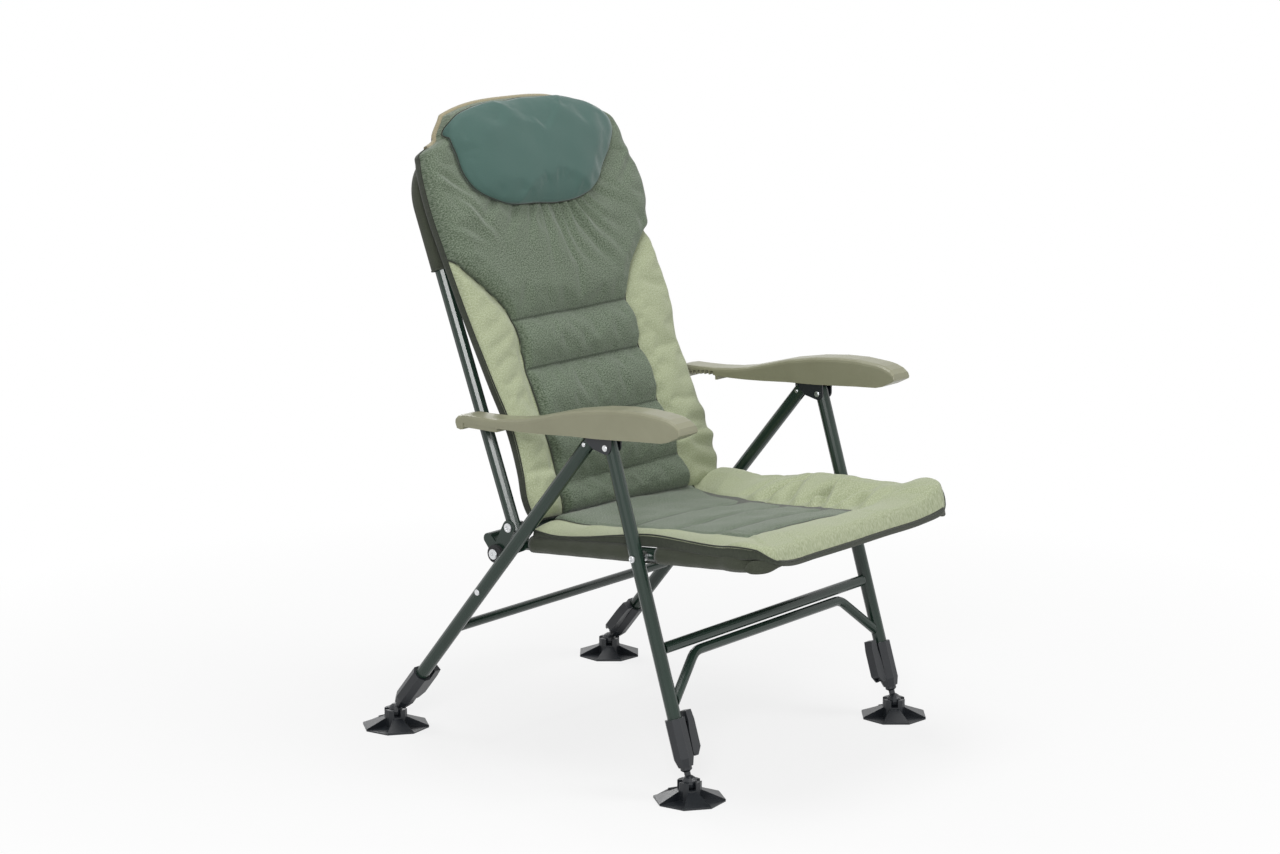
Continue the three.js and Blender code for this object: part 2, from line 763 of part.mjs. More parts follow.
function trackOutline() {
  const floor = noseDrop - armUnder;
  const points = [{ y: noseFrontY, z: floor }];
  for (let i = 0; i < notchCount; i++) {
    const place = notchPlace(i);
    const roof = place.z + notchHalf;
    const tip = place.z - toothTip;
    points.push(
      { y: place.y + notchHalf, z: tip },
      { y: place.y + notchHalf, z: roof - notchBevel },
      { y: place.y + notchHalf - notchBevel, z: roof },
      { y: place.y - notchHalf + notchBevel, z: roof },
      { y: place.y - notchHalf, z: roof - notchBevel },
      { y: place.y - notchHalf, z: tip },
    );
  }
  points.push({ y: rackFront, z: points[points.length - 1].z }, { y: rackFront, z: floor });
  return points;
}

const rackLow = notchPlace(0).z - toothTip;
const rackBlock = new THREE.BoxGeometry(
  2 * armHalfWidth - armWall,
  rackRear - rackFront + trackFrontOver,
  0.293 * armTop - rackTopOver - rackLow,
).translate(0, (rackRear + rackFront - trackFrontOver) / 2, (0.293 * armTop - rackTopOver + rackLow) / 2);

// Bosses that the bracket's top is screwed to
const bossR = 6;
const bosses = [-0.2, 1.15].map((share) => {
  const y = share * (rearPivot.y - armPivot.y);
  const high = armTopAt(y) - armWall / 2;
  const low = bracketTopZ - armPivot.z + seatGap;
  return new THREE.CylinderGeometry(bossR, bossR, high - low, 10)
    .rotateX(Math.PI / 2)
    .translate(0, y, (high + low) / 2);
});

const armShell = cut(loft(armStations.map((s) => ({ y: s.y, ring: armSection(s, armHalfWidth) }))), [
  loft(hollowSections),
]);
const trackCut = sidePlate(trackOutline(), -armHalfWidth - cutOver, armHalfWidth - armWall);
const armrest = cut(joined([armShell, rackBlock, ...bosses]), [trackCut]);
onBothSides("armrest", moved(armrest, armX, armPivot.y, armPivot.z), armPlastic);

// Notch pins, welded across the front of the backrest tubes
const pinIn = frameX - thinRivetR;
const pinOut = armX + armHalfWidth - armWall - 2 * seatGap;
onBothSides("notch_pin", moved(turnedX(pinIn, [[pinR, pinOut]], 12), 0, pin.y, pin.z), zinc);

// Leg ends: faceted collar with a cam lever, telescopic tube, ball and mud foot
const legEnds = [
  { word: "front", pivot: armPivot, ball: frontBall, length: frontLegLength, up: frontSleeveUp },
  { word: "rear", pivot: rearPivot, ball: rearBall, length: rearLegLength, up: rearSleeveUp },
];

const facets = 8;
const sleeveTaper = 4;
const sleeveTaperHigh = 13;
const leverPinUp = 16;
const leverPinIn = 21.5;
const leverPinR = 2;
const earWide = 8;
const earR = 4.2;
const leverWide = 15;
const leverWall = 2.6;
const leverFoot = 11.5;
const leverTop = 82;
const leverDeep = 14;
const leverFarX = 36.5;
const leverLip = 4;

// The collar in the leg's own frame: z = 0 is its lower end, the lever is on the -X side.
function sleeveSolid() {
  const flat = sleeveR / Math.cos(Math.PI / facets);
  const profile = [
    new THREE.Vector2(0, 0),
    new THREE.Vector2(flat - sleeveTaper, 0),
    new THREE.Vector2(flat, sleeveTaperHigh),
    new THREE.Vector2(flat, sleeveLength),
    new THREE.Vector2(0, sleeveLength),
  ];
  const body = zUp(new THREE.LatheGeometry(profile, facets)).rotateZ(Math.PI / facets);
  const ear = new THREE.BoxGeometry(leverPinIn, earWide, 2 * earR).translate(-leverPinIn / 2, 0, leverPinUp);
  const earEnd = new THREE.CylinderGeometry(earR, earR, earWide, 12).translate(-leverPinIn, 0, leverPinUp);
  const pinBar = new THREE.CylinderGeometry(leverPinR, leverPinR, leverWide, 10);
  pinBar.translate(-leverPinIn, 0, leverPinUp);
  const upperBore = cylinderZ(tubeR + seatGap, sleeveLength - tubeInSleeve, sleeveLength + cutOver);
  const lowerBore = cylinderZ(innerLegR + runningGap, -cutOver, sleeveLength);
  return cut(joined([body, ear, earEnd, pinBar]), [upperBore, lowerBore]);
}

function cylinderZ(radius, low, high, sides = 16) {
  return new THREE.CylinderGeometry(radius, radius, high - low, sides)
    .rotateX(Math.PI / 2)
    .translate(0, 0, (high + low) / 2);
}

// The lever is a channel that wraps the ear. Its outline is { x, z }, away from and along the leg.
function leverSolid() {
  const near = sleeveR / Math.cos(Math.PI / facets) + seatGap;
  const far = leverFarX;
  const outline = [
    [near, leverPinUp],
    [near + 0.15 * (far - near), leverFoot],
    [near + 0.55 * (far - near), leverFoot],
    [far, leverPinUp + leverDeep / 2],
    [far, 0.8 * leverTop],
    [far - 0.75 * leverLip, leverTop],
    [near + leverLip, leverTop],
    [near + 1.25 * leverLip, 0.8 * leverTop],
    [near + 0.5 * leverLip, 0.6 * leverTop],
  ].map(([x, z]) => new THREE.Vector2(-x, z));
  const plate = new THREE.ExtrudeGeometry(new THREE.Shape(outline), { depth: leverWide, bevelEnabled: false })
    .applyMatrix4(new THREE.Matrix4().makeBasis(axisX, axisZ, new THREE.Vector3(0, -1, 0)))
    .translate(0, leverWide / 2, 0);
  const inner = [
    [0, 0],
    [far - leverWall, 0],
    [far - leverWall, 0.8 * leverTop],
    [0, 0.8 * leverTop],
  ].map(([x, z]) => new THREE.Vector2(-x, z));
  const hollowWide = leverWide - 2 * leverWall;
  const hollow = new THREE.ExtrudeGeometry(new THREE.Shape(inner), { depth: hollowWide, bevelEnabled: false })
    .applyMatrix4(new THREE.Matrix4().makeBasis(axisX, axisZ, new THREE.Vector3(0, -1, 0)))
    .translate(0, hollowWide / 2, 0);
  const bore = new THREE.CylinderGeometry(leverPinR + seatGap, leverPinR + seatGap, leverWide + cutOver, 12);
  return cut(plate, [hollow, moved(bore, -leverPinIn, 0, leverPinUp)]);
}

// Telescopic tube in the ball's frame: z = 0 is the ball's centre. Its lower end is a neck.
function innerLegSolid() {
  const collarTop = neckTop + neckSlope;
  const start = Math.asin(neckR / (ballR + seatGap));
  const profile = [];
  for (let i = 0; i <= 3; i++) {
    const angle = (start * i) / 3;
    const reach = ballR + seatGap;
    profile.push(new THREE.Vector2(reach * Math.sin(angle), reach * Math.cos(angle)));
  }
  profile.push(
    new THREE.Vector2(neckR, neckTop),
    new THREE.Vector2(innerLegR, collarTop),
    new THREE.Vector2(innerLegR, innerLegLength),
    new THREE.Vector2(innerLegR - tubeWall, innerLegLength),
    new THREE.Vector2(innerLegR - tubeWall, collarTop + tubeWall),
    new THREE.Vector2(0, collarTop + tubeWall),
  );
  return zUp(new THREE.LatheGeometry(profile, 16));
}

// Mud foot: an eight-sided plate with four raised petals and a claw that snaps over the ball
const footRim = 2;
const petalRim = 3.5;
const petalHub = 17;
const hubR = 19;
const clawTop = 3.5;
const clawSlot = 11;
const clawSlotLow = 19;
const socketSides = 16;
const footTurn = THREE.MathUtils.degToRad(38.5);

function footSolid() {
  const corner = polygon(footR, facets, Math.PI / facets);
  const plate = new ConvexGeometry(
    corner.flatMap((p) => [new THREE.Vector3(p.x, p.y, 0), new THREE.Vector3(p.x, p.y, footRim)]),
  );
  const hubCorner = polygon(hubR, facets, Math.PI / facets);
  const petals = [0, 2, 4, 6].map((i) => {
    const ends = [i, (i + 7) % facets];
    return new ConvexGeometry(
      ends.flatMap((k) => [
        new THREE.Vector3(corner[k].x, corner[k].y, 0),
        new THREE.Vector3(corner[k].x, corner[k].y, petalRim),
        new THREE.Vector3(hubCorner[k].x, hubCorner[k].y, 0),
        new THREE.Vector3(hubCorner[k].x, hubCorner[k].y, petalHub),
      ]),
    );
  });
  const hub = cylinderZ(hubR, 0, ballUp + clawTop, 16);
  const socketR = (ballR + seatGap) / Math.cos(Math.PI / socketSides) ** 2;
  const socket = new THREE.SphereGeometry(socketR, socketSides, socketSides / 2).translate(0, 0, ballUp);
  const slots = [0, Math.PI / 2].map((turn) =>
    new THREE.BoxGeometry(2 * hubR + cutOver, clawSlot, ballUp)
      .translate(0, 0, clawSlotLow + ballUp / 2)
      .rotateZ(turn),
  );
  return cut(joined([plate, ...petals, hub]), [socket, ...slots])
    .rotateZ(footTurn)
    .translate(0, 0, -ballUp);
}

const sleeveGeometry = sleeveSolid();
const leverGeometry = leverSolid();
const innerLegGeometry = innerLegSolid();
const footGeometry = footSolid();
const ballGeometry = new THREE.SphereGeometry(ballR, 12, 8).rotateX(Math.PI / 2);

for (const end of legEnds) {
  const frameAt = (down) => (group) => {
    const leg = lineFrame(end.pivot, end.ball, legX, group);
    const place = new THREE.Group();
    place.position.z = -down;
    leg.add(place);
    return place;
  };
  const upright = (group) => {
    const place = new THREE.Group();
    place.position.set(legX, end.ball.y, end.ball.z);
    group.add(place);
    return place;
  };
  onBothSides(`${end.word}_leg_sleeve`, sleeveGeometry, blackPlastic, frameAt(end.length - end.up));
  onBothSides(`${end.word}_cam_lever`, leverGeometry, blackPlastic, frameAt(end.length - end.up));
  onBothSides(`${end.word}_inner_leg`, innerLegGeometry, blackPlastic, frameAt(end.length));
  onBothSides(`${end.word}_foot_ball`, ballGeometry, blackPlastic, upright);
  onBothSides(`${end.word}_mud_foot`, footGeometry, blackPlastic, upright);
}

// Seat cloth: a sleeve round each side tube and the front tube, with a flat panel between them
const slingIn = tubeR + runningGap;
const slingOut = slingIn + slingThick;
const slingShort = 24;
const slingRear = seatRearY - slingShort;
const slingSideFront = seatFrontY + seatBend;
const slingHem = 14;
const boltGap = 17;

// A wrapped edge: over the tube, round its outer side and back under it, as a closed outline.
function wrapOutline(inward) {
  const steps = 6;
  const outer = arc({ y: 0, z: 0 }, slingOut, Math.PI / 2, -Math.PI / 2, steps);
  const inner = arc({ y: 0, z: 0 }, slingIn, -Math.PI / 2, Math.PI / 2, steps);
  return [
    { y: -inward, z: slingOut },
    ...outer,
    { y: -slingHem, z: -slingOut },
    { y: -slingHem, z: -slingIn },
    ...inner,
    { y: -inward, z: slingIn },
  ].map((p) => new THREE.Vector2(p.y, p.z));
}

const seatAlong = new THREE.Vector3(0, -1, seatRiseShare).normalize();
const seatUp = new THREE.Vector3(0, seatRiseShare, 1).normalize();

function alongSeat(shape, fromY, toY) {
  const length = (fromY - toY) * Math.hypot(1, seatRiseShare);
  return new THREE.ExtrudeGeometry(shape, { depth: length, bevelEnabled: false })
    .applyMatrix4(new THREE.Matrix4().makeBasis(axisX, seatUp, seatAlong))
    .translate(0, fromY, seatLine(fromY));
}

const sideWrap = new THREE.Shape(wrapOutline(frameX / 2).map((p) => new THREE.Vector2(p.x + frameX, p.y)));
const otherWrap = new THREE.Shape(
  wrapOutline(frameX / 2)
    .map((p) => new THREE.Vector2(-p.x - frameX, p.y))
    .reverse(),
);
const panelHalf = frameX - seatBend / 2;
const frontOver = 2 * cutOver;
const panel = new THREE.Shape([
  new THREE.Vector2(-panelHalf, slingIn),
  new THREE.Vector2(panelHalf, slingIn),
  new THREE.Vector2(panelHalf, slingOut),
  new THREE.Vector2(-panelHalf, slingOut),
]);
const frontHalf = frameX - seatBend - slingThick;
const frontWrap = new THREE.ExtrudeGeometry(new THREE.Shape(wrapOutline(seatBend)), {
  depth: 2 * frontHalf,
  bevelEnabled: false,
})
  .applyMatrix4(new THREE.Matrix4().makeBasis(seatAlong, seatUp, axisX.clone().negate()))
  .translate(frontHalf, seatFrontY, seatLine(seatFrontY));
const boltWindows = [-1, 1].map((side) =>
  new THREE.BoxGeometry(slingOut + slingThick, 2 * boltGap, 2 * slingOut + cutOver).translate(
    side * (frameX + slingOut / 2 + slingThick),
    seatPivot.y,
    seatPivot.z,
  ),
);
const seatSling = cut(
  joined([
    alongSeat(sideWrap, slingRear, slingSideFront),
    alongSeat(otherWrap, slingRear, slingSideFront),
    alongSeat(panel, slingRear, seatFrontY + frontOver),
    frontWrap,
  ]),
  boltWindows,
);
add("seat_sling", seatSling, slingCloth, assembly);

// Backrest cloth: a pocket over the top of the frame, open below
const pocketHigh = 173;
const pocketLow = backHeight - pocketHigh;
const pocketIn = tubeR + runningGap;
const pocketOut = pocketIn + slingThick;

function pocketBlock(reach, depth, low) {
  const slopeShare = (backTopX - frameX) / (backHeight + backTubeBelow);
  const outlineAt = (high) => frameX + slopeShare * (high + backTubeBelow);
  const r = backBend + reach;
  const top = backHeight + reach;
  const half = backTopX + reach;
  const right = [
    { y: outlineAt(low) + reach, z: low },
    ...arc({ y: half - r, z: top - r }, r, 0, Math.PI / 2, 7),
  ];
  const left = right.map((p) => ({ y: -p.y, z: p.z })).reverse();
  const outline = new THREE.Shape([...right, ...left].map((p) => new THREE.Vector2(p.y, p.z)));
  return new THREE.ExtrudeGeometry(outline, { depth: 2 * depth, bevelEnabled: false })
    .applyMatrix4(new THREE.Matrix4().makeBasis(axisX, axisZ, axisY.clone().negate()))
    .translate(0, depth, 0);
}

const pocketSpare = 2.5;
const pocket = cut(pocketBlock(pocketOut + pocketSpare, pocketOut, pocketLow), [
  pocketBlock(pocketIn + pocketSpare, pocketIn, pocketLow - cutOver),
]);
add("back_pocket", pocket, slingCloth, backGroup);

// Padded pieces. A pad is a grid whose front and back faces meet at its rim.
// place(u, v, face) gives a point: u and v run from 0 to 1, face is 1 in front and 0 at the back.
function padSolid(columns, rows, place) {
  const position = [];
  const index = [];
  const rim = (i, j) => i === 0 || j === 0 || i === columns || j === rows;
  const ids = [[], []];
  for (const face of [1, 0]) {
    for (let j = 0; j <= rows; j++) {
      for (let i = 0; i <= columns; i++) {
        const key = j * (columns + 1) + i;
        if (face === 0 && rim(i, j)) {
          ids[0][key] = ids[1][key];
          continue;
        }
        ids[face][key] = position.length / 3;
        position.push(...place(i / columns, j / rows, face).toArray());
      }
    }
  }
  for (const face of [1, 0]) {
    for (let j = 0; j < rows; j++) {
      for (let i = 0; i < columns; i++) {
        const corner = j * (columns + 1) + i;
        const [a, b, c, d] = [corner, corner + 1, corner + columns + 2, corner + columns + 1].map(
          (k) => ids[face][k],
        );
        if (face) index.push(a, b, c, a, c, d);
        else index.push(a, c, b, a, d, c);
      }
    }
  }
  return facingOut(position, index);
}

// How full a pad is at a place: nothing at the rim, full a little way in
function fullness(u, v, rimShare) {
  const inward = Math.min(u, 1 - u, v, 1 - v) / rimShare;
  return Math.sqrt(1 - (1 - Math.min(inward, 1)) ** 2);
}

function groove(distance, width) {
  return Math.exp(-((distance / width) ** 2));
}

// Stations across and along a pad, closer together near its rim
function eased(share) {
  return 0.5 - 0.5 * Math.cos(Math.PI * share);
}

// Seat cushion on the seat cloth
const seatPadFront = 438;
const seatPadRear = 14;
const padUnder = slingOut + seatGap;
const seamGroove = 5;
const seamWide = 9;
const sideBolster = 44;
const bolsterExtra = 7;
const seatSeamShares = [0.36, 0.68];
const padRimShare = 0.12;
const drawnIn = 8;
const seatPadColumns = 18;
const seatPadRows = 20;

const seatPad = padSolid(seatPadColumns, seatPadRows, (uRaw, vRaw, face) => {
  const u = eased(uRaw);
  const v = eased(vRaw);
  const half = seatPadHalf - drawnIn * Math.sin(Math.PI * v) ** 2;
  const x = (2 * u - 1) * half;
  const y = -seatPadRear - v * (seatPadFront - seatPadRear) + drawnIn * (1 - v) * Math.sin(Math.PI * u);
  const full = fullness(u, v, padRimShare);
  const inset = half - Math.abs(x);
  const bolster = bolsterExtra * groove(inset - sideBolster / 2, sideBolster / 2);
  const seams = groove(inset - sideBolster, seamWide) * seamGroove;
  const cross = seatSeamShares.reduce((sum, s) => sum + groove((v - s) * seatPadFront, seamWide), 0);
  const rimHigh = padThick * 0.4;
  const crown = full * (padThick - rimHigh + bolster - seams - cross * seamGroove);
  const high = face ? rimHigh + crown : rimHigh * (1 - full);
  return seatPoint(x, y, (padUnder + high) / Math.hypot(1, seatRiseShare));
});
add("seat_cushion", seatPad, padCloth, assembly);

// Back cushion: a quilted middle between two side panels, in the backrest's own frame
const backPadLow = 18;
const backPadOver = 78;
const backPadHigh = backHeight + backPadOver;
const backSeamX = 158;
const channelHeights = [43, 140, 235, 317];
const backPadUnder = pocketOut + seatGap;
const topThin = 6;
const flare = 12;
const waist = 9;
const topCornerDrop = 26;
const topCornerIn = 42;
const backPadThick = 35;

const backPadColumns = 16;
const backPadRows = 28;
const backPad = padSolid(backPadColumns, backPadRows, (uRaw, vRaw, face) => {
  const u = eased(uRaw);
  const v = eased(vRaw);
  const cornerDrop = topCornerDrop * (1 - Math.sin(Math.PI * u)) * v ** 6;
  const z = backPadLow + v * (backPadHigh - backPadLow) - cornerDrop;
  const taper = flare * groove(v - 0.8, 0.18) - topCornerIn * v ** 20;
  const half = backPadHalf - waist * Math.sin(Math.PI * v * 0.8) ** 2 + taper;
  const x = (2 * u - 1) * half;
  const full = fullness(u, v, padRimShare);
  const across = Math.max(0, 1 - (Math.abs(x) / backSeamX) ** 8);
  const channel = channelHeights.reduce((sum, h) => sum + groove(z - h, seamWide), 0) * across;
  const seam = groove(Math.abs(x) - backSeamX, seamWide) * (v < 0.62 ? 1 : 0);
  const thin = topThin * Math.max(0, (v - 0.72) / 0.28);
  const rimHigh = backPadThick * 0.32;
  const high = face
    ? rimHigh + full * (backPadThick - rimHigh - thin - (channel + seam) * seamGroove * 1.4)
    : rimHigh * (1 - full);
  return new THREE.Vector3(x, -(backPadUnder + high), z);
});
add("back_cushion", backPad, padCloth, backGroup);

// Head pillow: a shield shape on the front of the back cushion
const pillowHigh = 184;
const pillowTop = backPadHigh;
const pillowLow = pillowTop - pillowHigh;
const pillowHalf = 203;
const pillowThick = 34;
const pillowCorner = 34;
const pillowUnder = backPadUnder + backPadThick - topThin * 0.2 + seatGap;

const pillowColumns = 16;
const pillowRows = 12;
const pillow = padSolid(pillowColumns, pillowRows, (uRaw, vRaw, face) => {
  const u = eased(uRaw);
  const v = eased(vRaw);
  const side = 2 * u - 1;
  const half = pillowHalf * (0.56 + 0.44 * Math.sin((Math.PI / 2) * Math.min(1, v * 1.35)));
  const x = side * half;
  const corners = pillowCorner * ((1 - v) * side ** 2 - v * side ** 4);
  const z = pillowLow + v * (pillowTop - pillowLow) + corners;
  const full = fullness(u, v, 0.35);
  const rimHigh = pillowThick * 0.22;
  const high = face ? rimHigh + full * (pillowThick - rimHigh) : rimHigh * (1 - full);
  return new THREE.Vector3(x, -(pillowUnder + high), z);
});
add("head_pillow", pillow, pillowCloth, backGroup);

// The origin is on the floor, in the middle of the chair's outline from above.
chair.updateMatrixWorld(true);
const reach = new THREE.Box3().setFromObject(assembly, true);
assembly.position.y = -(reach.min.y + reach.max.y) / 2;
assembly.position.z = -reach.min.z;

export default chair;
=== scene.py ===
import json
import math

import bpy
import numpy as np
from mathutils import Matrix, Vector


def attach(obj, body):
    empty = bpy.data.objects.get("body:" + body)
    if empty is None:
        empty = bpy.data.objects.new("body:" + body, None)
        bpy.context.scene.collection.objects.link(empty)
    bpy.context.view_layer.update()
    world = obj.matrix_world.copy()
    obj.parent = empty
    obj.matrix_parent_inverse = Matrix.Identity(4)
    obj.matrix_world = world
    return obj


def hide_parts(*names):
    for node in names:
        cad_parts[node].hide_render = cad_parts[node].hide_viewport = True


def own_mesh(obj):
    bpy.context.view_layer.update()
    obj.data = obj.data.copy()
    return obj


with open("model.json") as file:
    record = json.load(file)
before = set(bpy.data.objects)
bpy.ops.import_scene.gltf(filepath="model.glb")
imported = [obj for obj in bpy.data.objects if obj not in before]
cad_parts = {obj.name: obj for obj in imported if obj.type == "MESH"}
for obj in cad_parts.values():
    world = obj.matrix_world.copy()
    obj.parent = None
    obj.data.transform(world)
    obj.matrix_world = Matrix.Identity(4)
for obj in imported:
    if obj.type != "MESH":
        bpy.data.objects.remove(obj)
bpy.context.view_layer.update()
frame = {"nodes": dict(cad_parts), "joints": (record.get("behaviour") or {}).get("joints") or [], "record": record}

scene = bpy.context.scene

# Studio: a pale floor that runs into a white surround, soft lamps on both sides and above, and the
# camera a little above seat height, off the chair's front corner.

CAMERA_TARGET = Vector((0.0, 0.045, 0.4947))
CAMERA_DISTANCE = 4.9087
CAMERA_AZIMUTH = math.radians(-51.5)
CAMERA_ELEVATION = math.radians(11.5)
CAMERA_LENS = 84.87
WHITE = (1.0, 1.0, 1.0)


def node(tree, kind, inputs=None, **settings):
    """Adds a shader node. inputs gives each socket a value, or another node's output to read.
    Colours are red, green and blue."""
    made = tree.nodes.new(kind)
    for key, value in settings.items():
        setattr(made, key, value)
    for key, value in (inputs or {}).items():
        socket = made.inputs[key]
        if isinstance(value, bpy.types.NodeSocket):
            tree.links.new(value, socket)
        else:
            socket.default_value = (*value, 1.0) if socket.type == "RGBA" else value
    return made


def maths(tree, operation, first, second=0.0):
    inputs = {0: first, 1: second}
    return node(tree, "ShaderNodeMath", inputs, operation=operation).outputs[0]


def ranged(tree, value, low, high, from_low=0.0, from_high=1.0):
    """A value carried from one range over to another."""
    return node(tree, "ShaderNodeMapRange", {
        "Value": value,
        "From Min": from_low,
        "From Max": from_high,
        "To Min": low,
        "To Max": high,
    }).outputs[0]


def blank_material(name):
    material = bpy.data.materials.new(name)
    material.use_nodes = True
    material.node_tree.nodes.clear()
    return material


def aim(thing, place, target):
    thing.location = place
    thing.rotation_euler = (target - place).to_track_quat("-Z", "Y").to_euler()
    scene.collection.objects.link(thing)


camera_data = bpy.data.cameras.new("studio_camera")
camera_data.lens = CAMERA_LENS
camera_data.sensor_width = 36.0
camera = bpy.data.objects.new("studio_camera", camera_data)
flat_share = math.cos(CAMERA_ELEVATION)
camera_back = Vector((
    math.sin(CAMERA_AZIMUTH) * flat_share,
    -math.cos(CAMERA_AZIMUTH) * flat_share,
    math.sin(CAMERA_ELEVATION),
))
aim(camera, CAMERA_TARGET + camera_back * CAMERA_DISTANCE, CAMERA_TARGET)
scene.camera = camera
scene.view_settings.view_transform = "Standard"


def soft_lamp(name, place, size, watts):
    data = bpy.data.lights.new(name, "AREA")
    data.shape = "DISK"
    data.size = size
    data.energy = watts
    aim(bpy.data.objects.new(name, data), Vector(place), CAMERA_TARGET)


soft_lamp("key_lamp", (1.5, -2.9, 2.5), 1.6, 40)
soft_lamp("near_lamp", (-2.9, -1.9, 1.9), 1.1, 62)
soft_lamp("top_lamp", (-0.1, 0.2, 3.4), 1.9, 46)
soft_lamp("rear_lamp", (1.6, 2.8, 1.9), 1.4, 18)


def seen_white(tree):
    """1 for rays that should find a white background: the camera's, reflections and glass."""
    ray = node(tree, "ShaderNodeLightPath").outputs
    either = maths(tree, "MAXIMUM", ray["Is Camera Ray"], ray["Is Glossy Ray"])
    return maths(tree, "MAXIMUM", either, ray["Is Transmission Ray"])


WORLD_LIGHT = 0.20
world = bpy.data.worlds.new("white_surround")
world.use_nodes = True
world_tree = world.node_tree
world_tree.nodes.clear()
world_light = node(world_tree, "ShaderNodeBackground", {
    "Color": WHITE,
    "Strength": ranged(world_tree, seen_white(world_tree), WORLD_LIGHT, 1.0),
})
node(world_tree, "ShaderNodeOutputWorld", {"Surface": world_light.outputs[0]})
scene.world = world

FLOOR_REACH = 9.0
FLOOR_GREY = (0.86, 0.86, 0.86)
FLOOR_SHADOW = 0.22
SHADOW_FADES = (0.5, 1.6)
floor_material = blank_material("pale_floor")
floor_tree = floor_material.node_tree
floor_place = node(floor_tree, "ShaderNodeNewGeometry").outputs["Position"]
floor_distance = node(floor_tree, "ShaderNodeVectorMath", {0: floor_place}, operation="LENGTH")
floor_white = ranged(
    floor_tree, floor_distance.outputs["Value"], 1.0 - FLOOR_SHADOW, 1.0, *SHADOW_FADES
)
floor_mix = node(floor_tree, "ShaderNodeMixShader", {
    0: maths(floor_tree, "MULTIPLY", seen_white(floor_tree), floor_white),
    1: node(floor_tree, "ShaderNodeBsdfDiffuse", {"Color": FLOOR_GREY}).outputs[0],
    2: node(floor_tree, "ShaderNodeEmission", {"Color": WHITE, "Strength": 1.0}).outputs[0],
})
node(floor_tree, "ShaderNodeOutputMaterial", {"Surface": floor_mix.outputs[0]})

floor_mesh = bpy.data.meshes.new("studio_floor")
floor_corners = [
    (x * FLOOR_REACH, y * FLOOR_REACH, 0.0) for x, y in ((-1, -1), (1, -1), (1, 1), (-1, 1))
]
floor_mesh.from_pydata(floor_corners, [], [(0, 1, 2, 3)])
floor_mesh.materials.append(floor_material)
floor = bpy.data.objects.new("studio_floor", floor_mesh)
scene.collection.objects.link(floor)

# Frame tubes: round steel tube, bent cold, welded and drilled, then coated with a dark green gloss
# powder. The coat has a faint orange-peel skin and is rubbed a little paler on edges and rims.

MM = 0.001


def effect_group(name, inputs, build):
    """A shader node group. inputs gives the numbers it takes, and build(tree, given) makes its
    nodes and returns what it puts out."""
    tree = bpy.data.node_groups.new(name, "ShaderNodeTree")
    for socket, value in inputs.items():
        made = tree.interface.new_socket(socket, in_out="INPUT", socket_type="NodeSocketFloat")
        made.default_value = value
    results = build(tree, tree.nodes.new("NodeGroupInput").outputs)
    for socket in results:
        tree.interface.new_socket(socket, in_out="OUTPUT", socket_type="NodeSocketFloat")
    end = tree.nodes.new("NodeGroupOutput")
    for socket, value in results.items():
        tree.links.new(value, end.inputs[socket])
    return tree


def named(inputs):
    """Socket names, written with underscores for their spaces."""
    return {key.replace("_", " "): value for key, value in inputs.items()}


def use_effect(tree, group, **inputs):
    return node(tree, "ShaderNodeGroup", named(inputs), node_tree=group).outputs


def noise(tree, place, scale, detail, roughness=0.5):
    return node(tree, "ShaderNodeTexNoise", {
        "Vector": place,
        "Scale": scale,
        "Detail": detail,
        "Roughness": roughness,
    }).outputs[0]


def edge_wear_nodes(tree, given):
    """A mask of rubbed edges: where a rounded normal leaves the flat one, broken up by grain."""
    place = node(tree, "ShaderNodeTexCoord").outputs["Object"]
    rounded = node(tree, "ShaderNodeBevel", {"Radius": given["Width"]}, samples=4).outputs[0]
    flat = node(tree, "ShaderNodeNewGeometry").outputs["Normal"]
    likeness = node(tree, "ShaderNodeVectorMath", {0: rounded, 1: flat}, operation="DOT_PRODUCT")
    edge = ranged(tree, likeness.outputs["Value"], 0.0, 1.0, 0.995, 0.90)
    broken = ranged(tree, noise(tree, place, given["Grain"], 4.0), 0.0, 1.0, 0.38, 0.62)
    return {"Mask": maths(tree, "MULTIPLY", edge, broken)}


def skin_nodes(tree, given):
    """The fine surface of a coated or moulded piece: a height for bump, and slow uneven patches."""
    place = node(tree, "ShaderNodeTexCoord").outputs["Object"]
    return {
        "Height": noise(tree, place, given["Grain"], 2.0),
        "Patches": noise(tree, place, given["Patch"], 5.0, 0.6),
    }


edge_wear = effect_group("edge_wear", {"Width": 1.0 * MM, "Grain": 300.0}, edge_wear_nodes)
fine_skin = effect_group("fine_skin", {"Grain": 900.0, "Patch": 14.0}, skin_nodes)


def mixed(tree, share, first, second):
    """A colour between two, by a share."""
    return node(tree, "ShaderNodeMix", {0: share, 6: first, 7: second}, data_type="RGBA").outputs[2]


def bumped(tree, height, distance, strength):
    inputs = {"Height": height, "Distance": distance, "Strength": strength}
    return node(tree, "ShaderNodeBump", inputs).outputs[0]


def surface(tree, **inputs):
    """The Principled shader and the output."""
    shader = node(tree, "ShaderNodeBsdfPrincipled", named(inputs))
    node(tree, "ShaderNodeOutputMaterial", {"Surface": shader.outputs[0]})


def hard_finish(name, dark, light, rub, rough, grain, patch, edge, rubbed, relief, **shader):
    """A coated, plated or moulded surface. edge is the width and grain of the rubbed edges,
    rubbed their largest share of the rub colour, relief the depth and strength of the skin."""
    material = blank_material(name)
    tree = material.node_tree
    skin = use_effect(tree, fine_skin, Grain=grain, Patch=patch)
    worn = use_effect(tree, edge_wear, Width=edge[0], Grain=edge[1])
    body = mixed(tree, skin["Patches"], dark, light)
    surface(
        tree,
        Base_Color=mixed(tree, ranged(tree, worn["Mask"], 0.0, rubbed), body, rub),
        Roughness=ranged(tree, skin["Patches"], *rough),
        Normal=bumped(tree, skin["Height"], *relief),
        **shader,
    )
    return material


